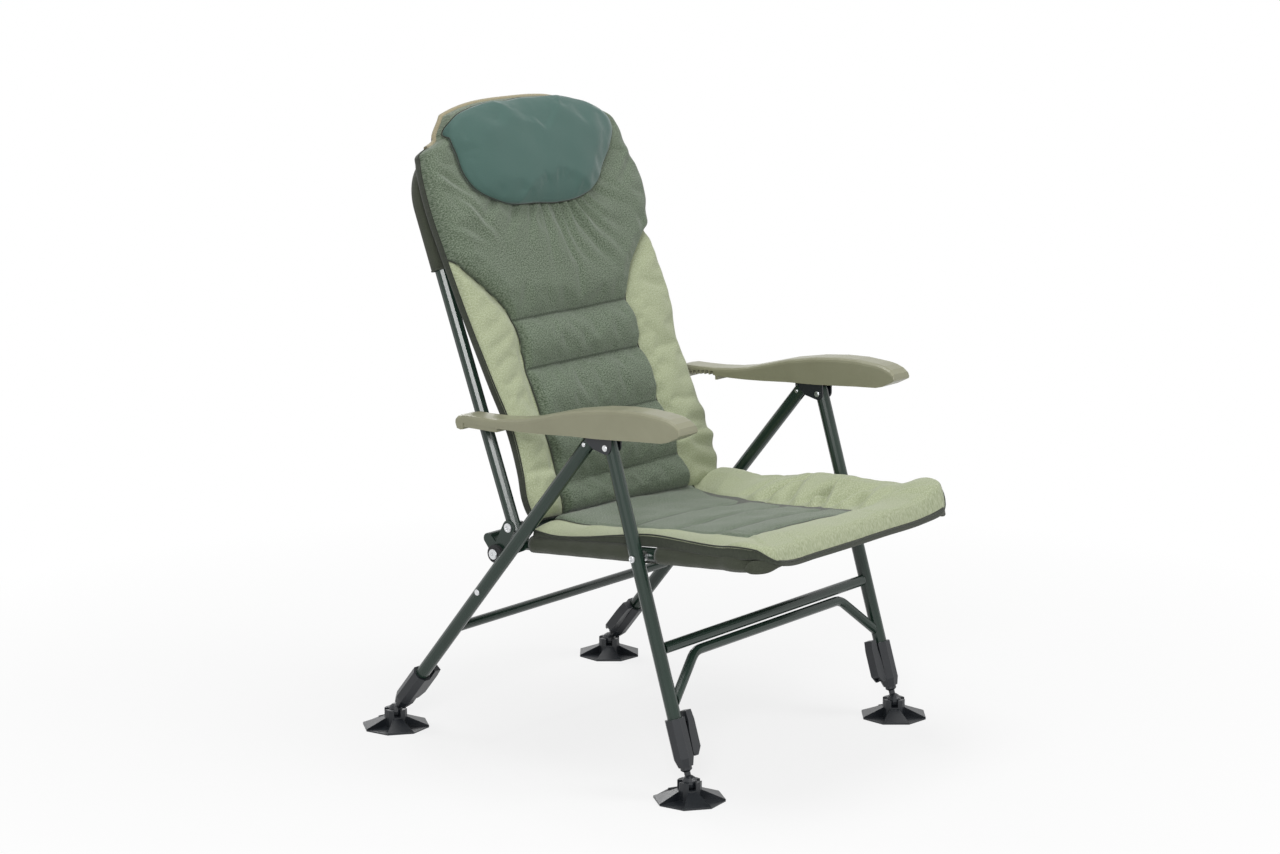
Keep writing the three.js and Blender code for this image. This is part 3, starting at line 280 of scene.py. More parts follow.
def cad_nodes(slot):
    """The CAD objects whose finish is that slot of the record."""
    rows = frame["record"]["subparts"]
    return [frame["nodes"][row["node"]] for row in rows if row["material_slot"] == slot]


def finish_nodes(slot, material):
    for piece in cad_nodes(slot):
        piece.data.materials.clear()
        piece.data.materials.append(material)


finish_nodes("green_tube", hard_finish(
    "green_powder_coat",
    dark=(0.010, 0.026, 0.018),
    light=(0.017, 0.036, 0.026),
    rub=(0.060, 0.080, 0.066),
    rough=(0.20, 0.30),
    grain=520.0,
    patch=9.0,
    edge=(0.8 * MM, 260.0),
    rubbed=0.5,
    relief=(0.06 * MM, 0.5),
    Metallic=0.0,
    Specular_IOR_Level=0.42,
    Coat_Weight=0.12,
    Coat_Roughness=0.10,
))

# Hinge screws, rivets, seat bolts and notch pins: steel, zinc plated bright. The screws and bolts
# are driven from outside; the rivets are set cold over the tubes.

finish_nodes("zinc", hard_finish(
    "bright_zinc",
    dark=(0.60, 0.61, 0.62),
    light=(0.78, 0.79, 0.80),
    rub=(0.9, 0.9, 0.9),
    rough=(0.2, 0.4),
    grain=1400.0,
    patch=90.0,
    edge=(0.3 * MM, 500.0),
    rubbed=0.6,
    relief=(0.02 * MM, 0.6),
    Metallic=1.0,
))

# Sleeves, cam levers, telescopic ends, mud feet and armrest brackets: glass-filled nylon, moulded
# in charcoal black with a fine spark grain, rubbed grey where edges touch the ground or a hand.


def moulded_plastic(name, rough, **colours_and_grain):
    return hard_finish(
        name,
        rough=(rough - 0.06, rough + 0.08),
        patch=22.0,
        edge=(0.7 * MM, 320.0),
        rubbed=0.45,
        relief=(0.08 * MM, 0.6),
        Specular_IOR_Level=0.5,
        **colours_and_grain,
    )


finish_nodes("black_plastic", moulded_plastic(
    "black_nylon",
    dark=(0.008, 0.010, 0.013),
    light=(0.016, 0.019, 0.023),
    rub=(0.075, 0.080, 0.088),
    rough=0.36,
    grain=1100.0,
))

# Stop rings: short rings of moulded black rubber, dull and dusty. They are pushed on to the bolts
# behind the rear legs.

finish_nodes("rubber", moulded_plastic(
    "black_rubber",
    dark=(0.012, 0.013, 0.014),
    light=(0.024, 0.025, 0.026),
    rub=(0.05, 0.05, 0.05),
    rough=0.78,
    grain=700.0,
))

# Armrests: hollow mouldings in olive-grey plastic, open below. The rack of notches under the rear
# end is part of the same moulding. Its long edges are softened as a mould leaves them.

ARM_EDGE = 4.5 * MM
finish_nodes("arm_plastic", moulded_plastic(
    "olive_arm_plastic",
    dark=(0.232, 0.230, 0.150),
    light=(0.292, 0.290, 0.198),
    rub=(0.40, 0.395, 0.29),
    rough=0.34,
    grain=900.0,
))
for armrest in cad_nodes("arm_plastic"):
    rounded = armrest.modifiers.new("moulded_edges", "BEVEL")
    rounded.width = ARM_EDGE
    rounded.segments = 4
    rounded.limit_method = "ANGLE"
    rounded.angle_limit = math.radians(32)
    rounded.harden_normals = True


# Seat cloth: a panel of dark olive woven polyester between the tubes, sewn to a sleeve that is
# pulled over them and open where each front leg is bolted on. Its corners have small loose folds.

joints = {joint["name"]: Vector(joint["pos_m"]) for joint in frame["joints"] if "pos_m" in joint}
HINGE = np.array(joints["recline"])
FRONT_PIVOT = np.array(joints["fold"])
BACK_LEAN = math.radians(21.68)
SEAT_RISE = 0.0812
BACK_UP = np.array([0.0, math.sin(BACK_LEAN), math.cos(BACK_LEAN)])
BACK_FORWARD = np.array([0.0, -math.cos(BACK_LEAN), math.sin(BACK_LEAN)])
SEAT_FORWARD = np.array([0.0, -1.0, SEAT_RISE]) / math.hypot(1.0, SEAT_RISE)
SEAT_UP = np.array([0.0, SEAT_RISE, 1.0]) / math.hypot(1.0, SEAT_RISE)
TUBE_X = 248.6 * MM
CLOTH_OUT = 13.4 * MM
CLOTH_THICK = 0.9 * MM


def placed(base, along_way, out_way, across, along, out):
    """Points across the chair, along one direction from a base, and out in another."""
    across, along, out = np.broadcast_arrays(across, along, out)
    points = base + along[..., None] * along_way + out[..., None] * out_way
    points[..., 0] += across
    return points


def on_back(across, up, forward):
    """Points of the backrest: across, up from the hinge along it, and forward of the tubes."""
    return placed(HINGE, BACK_UP, BACK_FORWARD, across, up, forward)


def on_seat(across, ahead, above):
    """Points of the seat: across, ahead of the fold pivot, and above the plane of the tubes."""
    return placed(FRONT_PIVOT, SEAT_FORWARD, SEAT_UP, across, ahead, above)


def weave_nodes(tree, given):
    """Plain weave in flat cloth coordinates, with heathered yarn: a height, and a mask of the
    pale yarn."""
    flat = node(tree, "ShaderNodeAttribute", attribute_name="cloth").outputs["Vector"]
    turns = maths(tree, "DIVIDE", 2.0 * math.pi, given["Thread"])
    place = node(tree, "ShaderNodeVectorMath", {0: flat, "Scale": turns}, operation="SCALE")
    parts = node(tree, "ShaderNodeSeparateXYZ", {0: place.outputs[0]}).outputs
    waves = [maths(tree, "SINE", parts[axis]) for axis in (0, 1)]
    yarn = noise(tree, flat, given["Heather"], 4.0, 0.75)
    return {
        "Height": maths(tree, "MULTIPLY", *waves),
        "Pale": ranged(tree, yarn, 0.0, 1.0, 0.40, 0.62),
        "Patches": noise(tree, flat, 11.0, 4.0),
    }


plain_weave = effect_group("plain_weave", {"Thread": 1.2 * MM, "Heather": 420.0}, weave_nodes)


def cloth_colour(tree, weave, dark, pale, patch):
    """Heathered yarn colour with slow patches of fading."""
    yarn = mixed(tree, weave["Pale"], dark, pale)
    return mixed(tree, ranged(tree, weave["Patches"], 0.0, 0.35, 0.35, 0.7), yarn, patch)


def cloth_surface(tree, weave, colour, rough, specular, sheen, relief):
    surface(
        tree,
        Base_Color=colour,
        Roughness=ranged(tree, weave["Pale"], *rough),
        Specular_IOR_Level=specular,
        Sheen_Weight=sheen[0],
        Sheen_Roughness=sheen[1],
        Normal=bumped(tree, weave["Height"], *relief),
    )


def woven_cloth(name, dark, pale, patch, thread=1.1 * MM, heather=520.0, rough=(0.78, 0.92),
                specular=0.25, sheen=(0.25, 0.5), relief=(0.12 * MM, 0.5)):
    material = blank_material(name)
    tree = material.node_tree
    weave = use_effect(tree, plain_weave, Thread=thread, Heather=heather)
    colour = cloth_colour(tree, weave, dark, pale, patch)
    cloth_surface(tree, weave, colour, rough, specular, sheen, relief)
    return material


dark_olive_cloth = woven_cloth(
    "dark_olive_cloth",
    dark=(0.036, 0.042, 0.028),
    pale=(0.062, 0.070, 0.048),
    patch=(0.050, 0.056, 0.040),
)


def mesh_object(name, points, faces, materials):
    """A smooth-shaded mesh in the row frame."""
    mesh = bpy.data.meshes.new(name)
    mesh.from_pydata([tuple(p) for p in points], [], [tuple(f) for f in faces])
    for material in materials:
        mesh.materials.append(material)
    mesh.polygons.foreach_set("use_smooth", [True] * len(mesh.polygons))
    mesh.update()
    made = bpy.data.objects.new(name, mesh)
    scene.collection.objects.link(made)
    return made


def add_numbers(piece, name, values):
    """Gives each point of a mesh a number, or three of them."""
    vector = np.ndim(values) > 1
    kind, field = ("FLOAT_VECTOR", "vector") if vector else ("FLOAT", "value")
    made = piece.data.attributes.new(name, kind, "POINT")
    made.data.foreach_set(field, np.asarray(values, np.float32).ravel())


def curve(table, at):
    """Values of the smooth curve through the table's (place, value) pairs."""
    place, value = np.array(table, float).T
    slope = np.gradient(value, place)
    k = np.clip(np.searchsorted(place, at) - 1, 0, len(place) - 2)
    step = place[k + 1] - place[k]
    t = np.clip((at - place[k]) / step, 0.0, 1.0)
    return (
        value[k] * (1 + 2 * t) * (1 - t) ** 2
        + slope[k] * step * t * (1 - t) ** 2
        + value[k + 1] * t * t * (3 - 2 * t)
        + slope[k + 1] * step * t * t * (t - 1)
    )


def bump(distance, width):
    """1 on a line, fading away over a width on both sides."""
    return np.exp(-((distance / width) ** 2))


def step_up(value, low, high):
    t = np.clip((value - low) / (high - low), 0.0, 1.0)
    return t * t * (3 - 2 * t)


NOISE_WAVES = 9


def slow_noise(across, along, size, seed):
    """A smooth random field between about -1 and 1, the same on each run."""
    dice = np.random.default_rng(seed)
    field = 0.0
    for _ in range(NOISE_WAVES):
        turn = dice.uniform(0, 2 * math.pi)
        reach = dice.uniform(0.6, 1.6)
        start = dice.uniform(0, 2 * math.pi)
        ray = 2 * math.pi * reach / size
        field = field + np.sin(ray * (across * math.cos(turn) + along * math.sin(turn)) + start)
    return field / NOISE_WAVES ** 0.5


def grid_faces(ids):
    corners = [ids[:-1, :-1], ids[:-1, 1:], ids[1:, 1:], ids[1:, :-1]]
    return np.stack(corners, -1).reshape(-1, 4)


def flat_of(points):
    """Flat cloth coordinates of a grid of points: lengths measured along its rows and columns."""
    flat = np.zeros(points.shape)
    flat[:, 1:, 0] = np.linalg.norm(np.diff(points, axis=1), axis=2).cumsum(axis=1)
    flat[1:, :, 1] = np.linalg.norm(np.diff(points, axis=0), axis=2).cumsum(axis=0)
    return flat


def cut_size(flat):
    """Width and length of the rectangle that flat coordinates span."""
    return float(flat[..., 0].max()), float(flat[..., 1].max())


def thicken(piece):
    body = piece.modifiers.new("cloth_thickness", "SOLIDIFY")
    body.thickness = CLOTH_THICK
    body.offset = 0.0


def cloth_strip(name, points, keep=None):
    """A sheet of the dark cloth from a grid of points, and its cut size. keep says which cells
    stay."""
    rows, columns = points.shape[:2]
    faces = grid_faces(np.arange(rows * columns).reshape(rows, columns))
    if keep is not None:
        faces = faces[keep.reshape(-1)]
    piece = mesh_object(name, points.reshape(-1, 3), faces, [dark_olive_cloth])
    flat = flat_of(points)
    add_numbers(piece, "cloth", flat)
    thicken(piece)
    return piece, cut_size(flat)


SEAT_FRONT_AHEAD = 205.0 * MM
SEAT_REAR_AHEAD = -232.0 * MM
SEAT_BEND = 62.0 * MM
SLEEVE_INWARD = 31.0 * MM
HEM_INWARD = 14.0 * MM
CORNER_SPARE = 11.0 * MM
WINDOW_HALF = 17.0 * MM
SEAT_CORNER_START = SEAT_FRONT_AHEAD - SEAT_BEND


def seat_tube_path():
    """Stations round the seat tube from the rear right end to the rear left one: place across and
    ahead, the outward direction, and how far into a corner bend each is."""
    side = np.linspace(SEAT_REAR_AHEAD, SEAT_CORNER_START, 62)
    turn = np.linspace(0.0, math.pi / 2, 15)[1:-1]
    centre = TUBE_X - SEAT_BEND
    rows = [(-TUBE_X, d, -1.0, 0.0, 0.0) for d in side]
    for sign, angles in ((-1, turn), (1, turn[::-1])):
        if sign > 0:
            front = np.linspace(-centre, centre, 46)
            rows += [(x, SEAT_FRONT_AHEAD, 0.0, 1.0, 0.0) for x in front]
        rows += [(
            sign * (TUBE_X - SEAT_BEND + SEAT_BEND * math.cos(a)),
            SEAT_CORNER_START + SEAT_BEND * math.sin(a),
            sign * math.cos(a),
            math.sin(a),
            math.sin(2 * a),
        ) for a in angles]
    rows += [(TUBE_X, d, 1.0, 0.0, 0.0) for d in side[::-1]]
    return np.array(rows).T


def seat_sleeve():
    x, d, out_x, out_d, bend = seat_tube_path()
    arc = np.linspace(0.0, math.pi, 13)
    inward = [-SLEEVE_INWARD, -SLEEVE_INWARD / 2]
    outward = np.concatenate([inward, CLOTH_OUT * np.sin(arc), [-HEM_INWARD]])
    height = np.concatenate([[CLOTH_OUT, CLOTH_OUT], CLOTH_OUT * np.cos(arc), [-CLOTH_OUT]])
    spare = np.concatenate([[0, 0], np.sin(arc) ** 0.7, [0]]) * CORNER_SPARE
    reach = outward[None, :] + spare[None, :] * bend[:, None]
    along = np.arange(len(x))[:, None]
    reach = reach + 0.5 * MM * np.sin(along * 0.9 + outward[None, :] * 90.0) * (outward > 0)
    droop = -2.6 * MM * bend[:, None] * (height < 0)
    points = on_seat(
        x[:, None] + out_x[:, None] * reach,
        d[:, None] + out_d[:, None] * reach,
        height[None, :] + droop,
    )
    middle = (d[:-1] + d[1:])[:, None] / 2
    straight = ((bend[:-1] + bend[1:]) == 0)[:, None] & (abs(out_d[:-1]) == 0)[:, None]
    outer = ((outward[:-1] + outward[1:]) / 2 > 2.0 * MM)[None, :]
    window = (abs(middle) < WINDOW_HALF) & straight & outer
    return cloth_strip("seat_sleeve", points, ~window)


def seat_panel():
    reach = TUBE_X - SLEEVE_INWARD + 3 * MM
    across = np.linspace(-reach, reach, 49)
    along = np.linspace(SEAT_REAR_AHEAD, SEAT_FRONT_AHEAD - SLEEVE_INWARD + 3 * MM, 45)
    x, d = np.meshgrid(across, along)
    corner = np.maximum(0.0, d - SEAT_CORNER_START) / SEAT_BEND
    x = x * (1 - 0.10 * corner ** 2)
    span = np.clip(1 - (x / TUBE_X) ** 2, 0, 1)
    sag = 1.4 * MM * span + 0.5 * MM * slow_noise(x, d, 0.16, 3) * span
    points = on_seat(x, d, CLOTH_OUT - 1.0 * MM - sag)
    return cloth_strip("seat_cloth", points)


def lay_on(piece, body, slot_name, *nodes):
    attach(piece, body)
    if nodes:
        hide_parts(*nodes)


def as_sheet(piece, cut, rests_on, **more):
    """Updates the view layer."""
    bpy.context.view_layer.update()


FLAPS = {
    "right": (
        ((-262, 190, -9), (-258, 203, -14), (-236, 216, -15), (-212, 228, -5)),
        ((-262, 190, -9), (-259, 201, 5), (-236, 221, 4), (-212, 228, -5)),
    ),
    "left": (
        ((262, 190, -9), (262, 205, -14), (240, 217, -16), (205, 221, -8)),
        ((262, 190, -9), (260, 203, 4), (238, 219, 2), (205, 221, -8)),
    ),
}


def corner_flap(side):
    """The loose end of the sleeve cloth at a front corner, pinched into a small double fold."""
    edges = []
    for edge in FLAPS[side]:
        steps = np.linspace(0, 3, 16)
        edges.append(MM * np.array([curve(list(enumerate(axis)), steps) for axis in zip(*edge)]).T)
    share = np.linspace(0, 1, 7)[:, None]
    x, d, h = [low * (1 - share) + high * share for low, high in zip(*(edge.T for edge in edges))]
    fold = 1.8 * MM * np.sin(share * math.pi) * np.sin(np.linspace(0, 2.5 * math.pi, 16))
    return cloth_strip("corner_flap_" + side, on_seat(x, d + fold, h))


sleeve_piece, sleeve_cut = seat_sleeve()
panel_piece, panel_cut = seat_panel()
lay_on(sleeve_piece, "seat", "sling_fabric", "seat_sling")
lay_on(panel_piece, "seat", "sling_fabric")
as_sheet(sleeve_piece, sleeve_cut, ["seat_frame"])
as_sheet(panel_piece, panel_cut, ["seat_frame"])
for flap_side in FLAPS:
    flap, flap_cut = corner_flap(flap_side)
    lay_on(flap, "seat", "sling_fabric")
    as_sheet(flap, flap_cut, [sleeve_piece])


def ring_faces(count, sides):
    """Numbers of the points of a tube made of rings, each ring closed, and the tube's faces."""
    ids = np.arange(count * sides).reshape(count, sides)
    ids = np.concatenate([ids, ids[:, :1]], axis=1)
    return ids, [list(face) for face in grid_faces(ids)[:, ::-1]]


THREAD_SIDES = 8


def thread_tube(name, path, radius, material):
    """A round cord or sewn edge along a path of points, with closed ends."""
    sides = THREAD_SIDES
    path = np.asarray(path, float)
    ahead = np.gradient(path, axis=0)
    ahead /= np.linalg.norm(ahead, axis=1)[:, None]
    side = np.cross(ahead[0], [0.31, 0.17, 0.93])
    rings = []
    for place, forward in zip(path, ahead):
        side = side - forward * side.dot(forward)
        side /= np.linalg.norm(side)
        up = np.cross(forward, side)
        turn = np.linspace(0, 2 * math.pi, sides, endpoint=False)[:, None]
        rings.append(place + radius * (np.cos(turn) * side + np.sin(turn) * up))
    points = np.concatenate([*rings, path[:1], path[-1:]])
    count, last = len(path), len(path) * sides
    ids, faces = ring_faces(count, sides)
    faces += [[last, ids[0, k + 1], ids[0, k]] for k in range(sides)]
    faces += [[last + 1, ids[-1, k], ids[-1, k + 1]] for k in range(sides)]
    made = mesh_object(name, points, faces, [material])
    length = np.concatenate([[0], np.linalg.norm(np.diff(path, axis=0), axis=1).cumsum()])
    flat = np.zeros((len(points), 3))
    flat[:last, 0] = np.repeat(length, sides)
    flat[:last, 1] = np.tile(np.linspace(0, 2 * math.pi * radius, sides), count)
    add_numbers(made, "cloth", flat)
    return made

# Pocket over the top of the backrest frame: dark olive cloth, closed at the sides and top, hemmed
# and open below. It is sewn to the back of the mattress and holds it on the frame.

POCKET_ROWS = 40
POCKET_SIDES = 96
POCKET_LOW = 425.0 * MM
POCKET_EASE = 2.5 * MM
POCKET_SLACK = 4.0 * MM
FRAME_BELOW = 8 * MM
FRAME_TOP = 598.0 * MM
FRAME_TOP_X = 236.0 * MM
FRAME_BEND = 72.0 * MM


def back_pocket():
    top = FRAME_TOP + CLOTH_OUT
    share = np.linspace(0.0, 1.0, POCKET_ROWS)
    up = POCKET_LOW + (top - POCKET_LOW) * np.sin(share * math.pi / 2) ** 0.9
    lean = (FRAME_TOP_X - TUBE_X) / (FRAME_TOP + FRAME_BELOW)
    straight = TUBE_X + lean * (up + FRAME_BELOW) + CLOTH_OUT + POCKET_EASE
    bend_low = FRAME_TOP - FRAME_BEND
    over = np.clip((up - bend_low) / (top - bend_low), 0, 1)
    bend = FRAME_BEND + CLOTH_OUT
    half = straight - bend * (1 - np.sqrt(np.clip(1 - over ** 2, 0, 1))) * 0.92
    over_tube = np.clip((up - FRAME_TOP) / CLOTH_OUT, -1, 1)
    deep = CLOTH_OUT * np.where(over_tube > 0, np.sqrt(np.clip(1 - over_tube ** 2, 0, 1)), 1.0)
    turn = np.linspace(0, 2 * math.pi, POCKET_SIDES + 1)
    across = np.sign(np.cos(turn)) * np.abs(np.cos(turn)) ** 0.55
    through = np.sign(np.sin(turn)) * np.abs(np.sin(turn)) ** 0.30
    s = up[:, None] + 0 * turn[None, :]
    x = half[:, None] * across[None, :]
    inside = np.clip(1 - (x / half[:, None]) ** 2, 0, 1)
    f = deep[:, None] * through[None, :]
    slack = (0.5 + 0.5 * slow_noise(x, s, 0.13, 11)) * POCKET_SLACK * inside
    hang = -slack * (through[None, :] < 0) * step_up(top - s, 0.0, 40 * MM)
    points = on_back(x, s, f + hang)
    points[:, -1] = points[:, 0]
    ring_points = points[:, :-1].reshape(-1, 3)
    faces = ring_faces(POCKET_ROWS, POCKET_SIDES)[1]
    piece = mesh_object("back_pocket_cloth", ring_points, faces, [dark_olive_cloth])
    flat = flat_of(points)
    add_numbers(piece, "cloth", flat[:, :-1])
    thicken(piece)
    return piece, flat, np.concatenate([points[0], points[0][:2]])


pocket_piece, pocket_flat, hem_path = back_pocket()
lay_on(pocket_piece, "back", "sling_fabric", "back_pocket")
hem = thread_tube("pocket_hem", hem_path, 1.5 * MM, dark_olive_cloth)
lay_on(hem, "back", "sling_fabric")
pocket_cut = (cut_size(pocket_flat[:1])[0], cut_size(pocket_flat)[1])
as_sheet(pocket_piece, pocket_cut, ["back_frame"], with_pieces=[hem])

# Mattress cloth: grey-green heathered polyester in the middle and pale olive at the sides, sewn
# together over wadding, with dark piping in the curved seams and a dark cloth behind.

def quilt_cloth():
    """The mattress front: the attribute "panel" is the distance outside the seams of the dark
    middle, and "stitch" the distance from the nearest sewn channel. Along both lines the colour
    is darkened: dark stitch thread plus painted shade in the sewn grooves."""
    material = blank_material("mattress_front_cloth")
    tree = material.node_tree
    weave = use_effect(tree, plain_weave, Thread=1.15 * MM, Heather=460.0)
    dark = cloth_colour(
        tree, weave, (0.046, 0.068, 0.038), (0.240, 0.288, 0.216), (0.132, 0.174, 0.116)
    )
    light = cloth_colour(
        tree, weave, (0.290, 0.330, 0.195), (0.500, 0.540, 0.370), (0.420, 0.460, 0.298)
    )
    panel = node(tree, "ShaderNodeAttribute", attribute_name="panel").outputs["Fac"]
    outside = ranged(tree, panel, 0.0, 1.0, -0.3 * MM, 0.3 * MM)
    channel = node(tree, "ShaderNodeAttribute", attribute_name="stitch").outputs["Fac"]
    stitch = maths(tree, "MINIMUM", channel, maths(tree, "ABSOLUTE", panel))
    # thread: dark stitch thread plus painted shade in channels and seams, gone 3.2 mm out
    thread = ranged(tree, stitch, 0.7, 0.0, 0.5 * MM, 3.2 * MM)
    sewn = mixed(tree, thread, mixed(tree, outside, dark, light), (0.030, 0.038, 0.026))
    cloth_surface(tree, weave, sewn, (0.80, 0.93), 0.22, (0.22, 0.5), (0.10 * MM, 0.55))
    return material


mattress_front = quilt_cloth()
mattress_side = woven_cloth(
    "mattress_side_cloth",
    dark=(0.030, 0.036, 0.025),
    pale=(0.056, 0.064, 0.045),
    patch=(0.044, 0.052, 0.036),
)
dark_piping = woven_cloth(
    "dark_piping",
    dark=(0.022, 0.027, 0.018),
    pale=(0.042, 0.048, 0.034),
    patch=(0.032, 0.037, 0.026),
    thread=0.7 * MM,
)
tan_binding = woven_cloth(
    "tan_binding",
    dark=(0.27, 0.235, 0.145),
    pale=(0.42, 0.375, 0.25),
    patch=(0.34, 0.30, 0.19),
    thread=1.0 * MM,
)


def stations(length, insets, spacing, marks=()):
    """Shares of a length: a few close together near both ends and even ones between. The one
    nearest to each mark is moved on to it."""
    ends = np.array(insets, float)
    count = max(2, round((length - 2 * ends[-1]) / spacing)) + 1
    middle = np.linspace(ends[-1], length - ends[-1], count)
    for mark in marks:
        middle[np.argmin(abs(middle - mark))] = mark
    return np.concatenate([ends[:-1], middle, length - ends[:-1][::-1]]) / length


RIM_INSETS = (0.0, 1.0 * MM, 3.5 * MM, 7.0 * MM, 11.5 * MM, 17.0 * MM)


def pad_mesh(name, across, along, shape, materials, numbers, wall_cells=0):
    """A sewn pad. Its front and back are grids that share the rim. shape(u, v, face) gives points,
    numbers(u, v) the front's attributes, and wall_cells how many outer cells are its side wall."""
    u, v = np.meshgrid(across, along)
    front, back = shape(u, v, 1), shape(u, v, 0)
    rows, columns = u.shape
    ids = np.arange(rows * columns).reshape(rows, columns)
    back_ids = ids.copy()
    inner = np.arange((rows - 2) * (columns - 2)).reshape(rows - 2, -1)
    back_ids[1:-1, 1:-1] = rows * columns + inner
    points = np.concatenate([front.reshape(-1, 3), back[1:-1, 1:-1].reshape(-1, 3)])
    faces = np.concatenate([grid_faces(ids), grid_faces(back_ids)[:, ::-1]])
    piece = mesh_object(name, points, faces, materials)
    walls = np.ones((rows - 1, columns - 1), int)
    walls[wall_cells:rows - 1 - wall_cells, wall_cells:columns - 1 - wall_cells] = 0
    piece.data.polygons.foreach_set("material_index", [*walls.ravel(), *([1] * walls.size)])
    for key, values in numbers(u, v).items():
        size = (-1, *values.shape[2:])
        both = np.concatenate([values.reshape(size), values[1:-1, 1:-1].reshape(size)])
        add_numbers(piece, key, both)
    return piece, ids


def point_array(mesh):
    points = np.zeros(len(mesh.vertices) * 3)
    mesh.vertices.foreach_get("co", points)
    return points.reshape(-1, 3)


PUFF_STEPS = 20
PUFF_SINK = 0.4 * MM
HELD_ROWS = 4


def puff(piece, ids, sewn, up, pressure, spare, cap):
    """Swells a sewn pad with cloth simulation. Its back, its rim and the sewn ones among its
    front points stay. up is its outward side, spare is how much larger the cloth is than its
    start, and cap how far a point may move."""
    rest = point_array(piece.data)
    free = ~sewn
    free[:HELD_ROWS] = free[-HELD_ROWS:] = False
    free[:, :HELD_ROWS] = free[:, -HELD_ROWS:] = False
    held = np.delete(np.arange(len(rest)), ids[free])
    piece.vertex_groups.new(name="held").add(held.tolist(), 1.0, "REPLACE")
    air = piece.modifiers.new("air", "CLOTH")
    air.settings.quality = 5
    air.settings.mass = 0.25
    air.settings.vertex_group_mass = "held"
    air.settings.use_pressure = True
    air.settings.uniform_pressure_force = pressure
    air.settings.shrink_min = -spare
    air.settings.effector_weights.gravity = 0.0
    air.collision_settings.use_collision = False
    air.point_cache.frame_start = 1
    air.point_cache.frame_end = PUFF_STEPS
    for frame_number in range(1, PUFF_STEPS + 1):
        scene.frame_set(frame_number)
    swollen = piece.evaluated_get(bpy.context.evaluated_depsgraph_get())
    shift = point_array(swollen.to_mesh()) - rest
    swollen.to_mesh_clear()
    piece.modifiers.remove(air)
    piece.vertex_groups.clear()
    scene.frame_set(1)
    rise = shift @ up
    shift = shift + up * (np.clip(rise, -PUFF_SINK, cap) - rise)[:, None]
    reach = np.linalg.norm(shift, axis=1)[:, None]
    settled = rest + shift * np.minimum(1.0, cap / np.maximum(reach, 1e-9))
    piece.data.vertices.foreach_set("co", settled.ravel())
    piece.data.update()


def smooth_once(piece):
    finer = piece.modifiers.new("finer", "SUBSURF")
    finer.levels = 1
    finer.render_levels = 1

# Seat cushion: a flat pad with a dark woven middle, sewn across three times, and a pale border.
# The far border is bunched up into a full roll; the front one is mitred and pleated at both
# corners. Tables and plain names give its shape in millimetres.

SEAT_PAD_HALF = 257.0 * MM
SEAT_PAD_REAR = -228.0 * MM
SEAT_PAD_FRONT = 231.0 * MM
SEAT_CORNER = 50.0 * MM
REAR_REACH = 14.0 * MM
SEAT_EDGE = 17.0 * MM
NEAR_SEAM = -198.0 * MM
FRONT_SEAM = 152.0 * MM
CROSS_SEAMS = (-76.0 * MM, 8.0 * MM, 90.0 * MM)
FAR_SEAM_LINE = (
    (-228, 172), (-200, 158), (-166, 137), (-118, 125), (-58, 110), (-6, 103), (56, 100),
    (112, 100), (152, 100), (225, 180),
)
ROLL_RIDGE = (
    (-228, 42), (-180, 41), (-139, 32), (-97, 35), (-49, 41), (6, 46), (52, 43), (98, 37),
    (117, 35), (150, 39), (182, 44), (205, 42), (225, 34),
)
ROLL_START = 14
ROLL_OUTER = 27
ROLL_LOWEST = 15.5
ROLL_CREST = 0.66
ROLL_FALL = 0.34
FOLD_DEEP = 2.0
FOLD_PUSH = 0.7
ROLL_FOLDS = (
    (-98, 5, 14, 25), (-44, 10, 11, 38), (-6, 6, 9, -32), (42, 13, 9, 44), (60, 10, 8, -40),
    (94, 8, 8, 24), (128, 7, 11, -30),
)
NEAR_EDGE_TOP = (
    (-228, 25), (-188, 18), (-129, 19), (-60, 26), (4, 32), (68, 29), (131, 25), (193, 24),
    (225, 19),
)
FRONT_EDGE_TOP = (
    (-257, 10), (-202, -4), (-129, -6), (-40, -7), (51, -7), (164, -7), (215, -3), (257, 8),
)
MIDDLE_TOP = 29
MIDDLE_FALL = 15
CHANNEL_DEEP = 3.6
SEAM_DEEP = 3.8
BAND_WIDE = 73
MITRE_DEEP = 5
MITRES = ((NEAR_SEAM, 52, -1), (150 * MM, 90, 1))
BAND_CREASES = (
    (-176, 3.4, 0.5), (-150, 2.0, 0.3), (-20, 1.4, 0.4), (60, 1.6, -0.3), (196, 3.0, -0.5),
)


def from_table(table, at):
    """The smooth curve through a table in millimetres."""
    return curve([(place * MM, value * MM) for place, value in table], at)


def seat_place(u, v):
    """Place of a grid point on the seat cushion, whose front corners are rounded as the frame's."""
    d = SEAT_PAD_REAR + v * (SEAT_PAD_FRONT - SEAT_PAD_REAR)
    into = np.clip((d - (SEAT_PAD_FRONT - SEAT_CORNER)) / SEAT_CORNER, 0, 1)
    half = SEAT_PAD_HALF - SEAT_CORNER * (1 - np.sqrt(1 - into ** 2))
    bulge = 3 * MM * np.sin(math.pi * np.clip(v * 1.2, 0, 1)) ** 2
    half = half - bulge + 4.5 * MM * step_up(d, 20 * MM, 120 * MM)
    return (2 * u - 1) * half, d, half


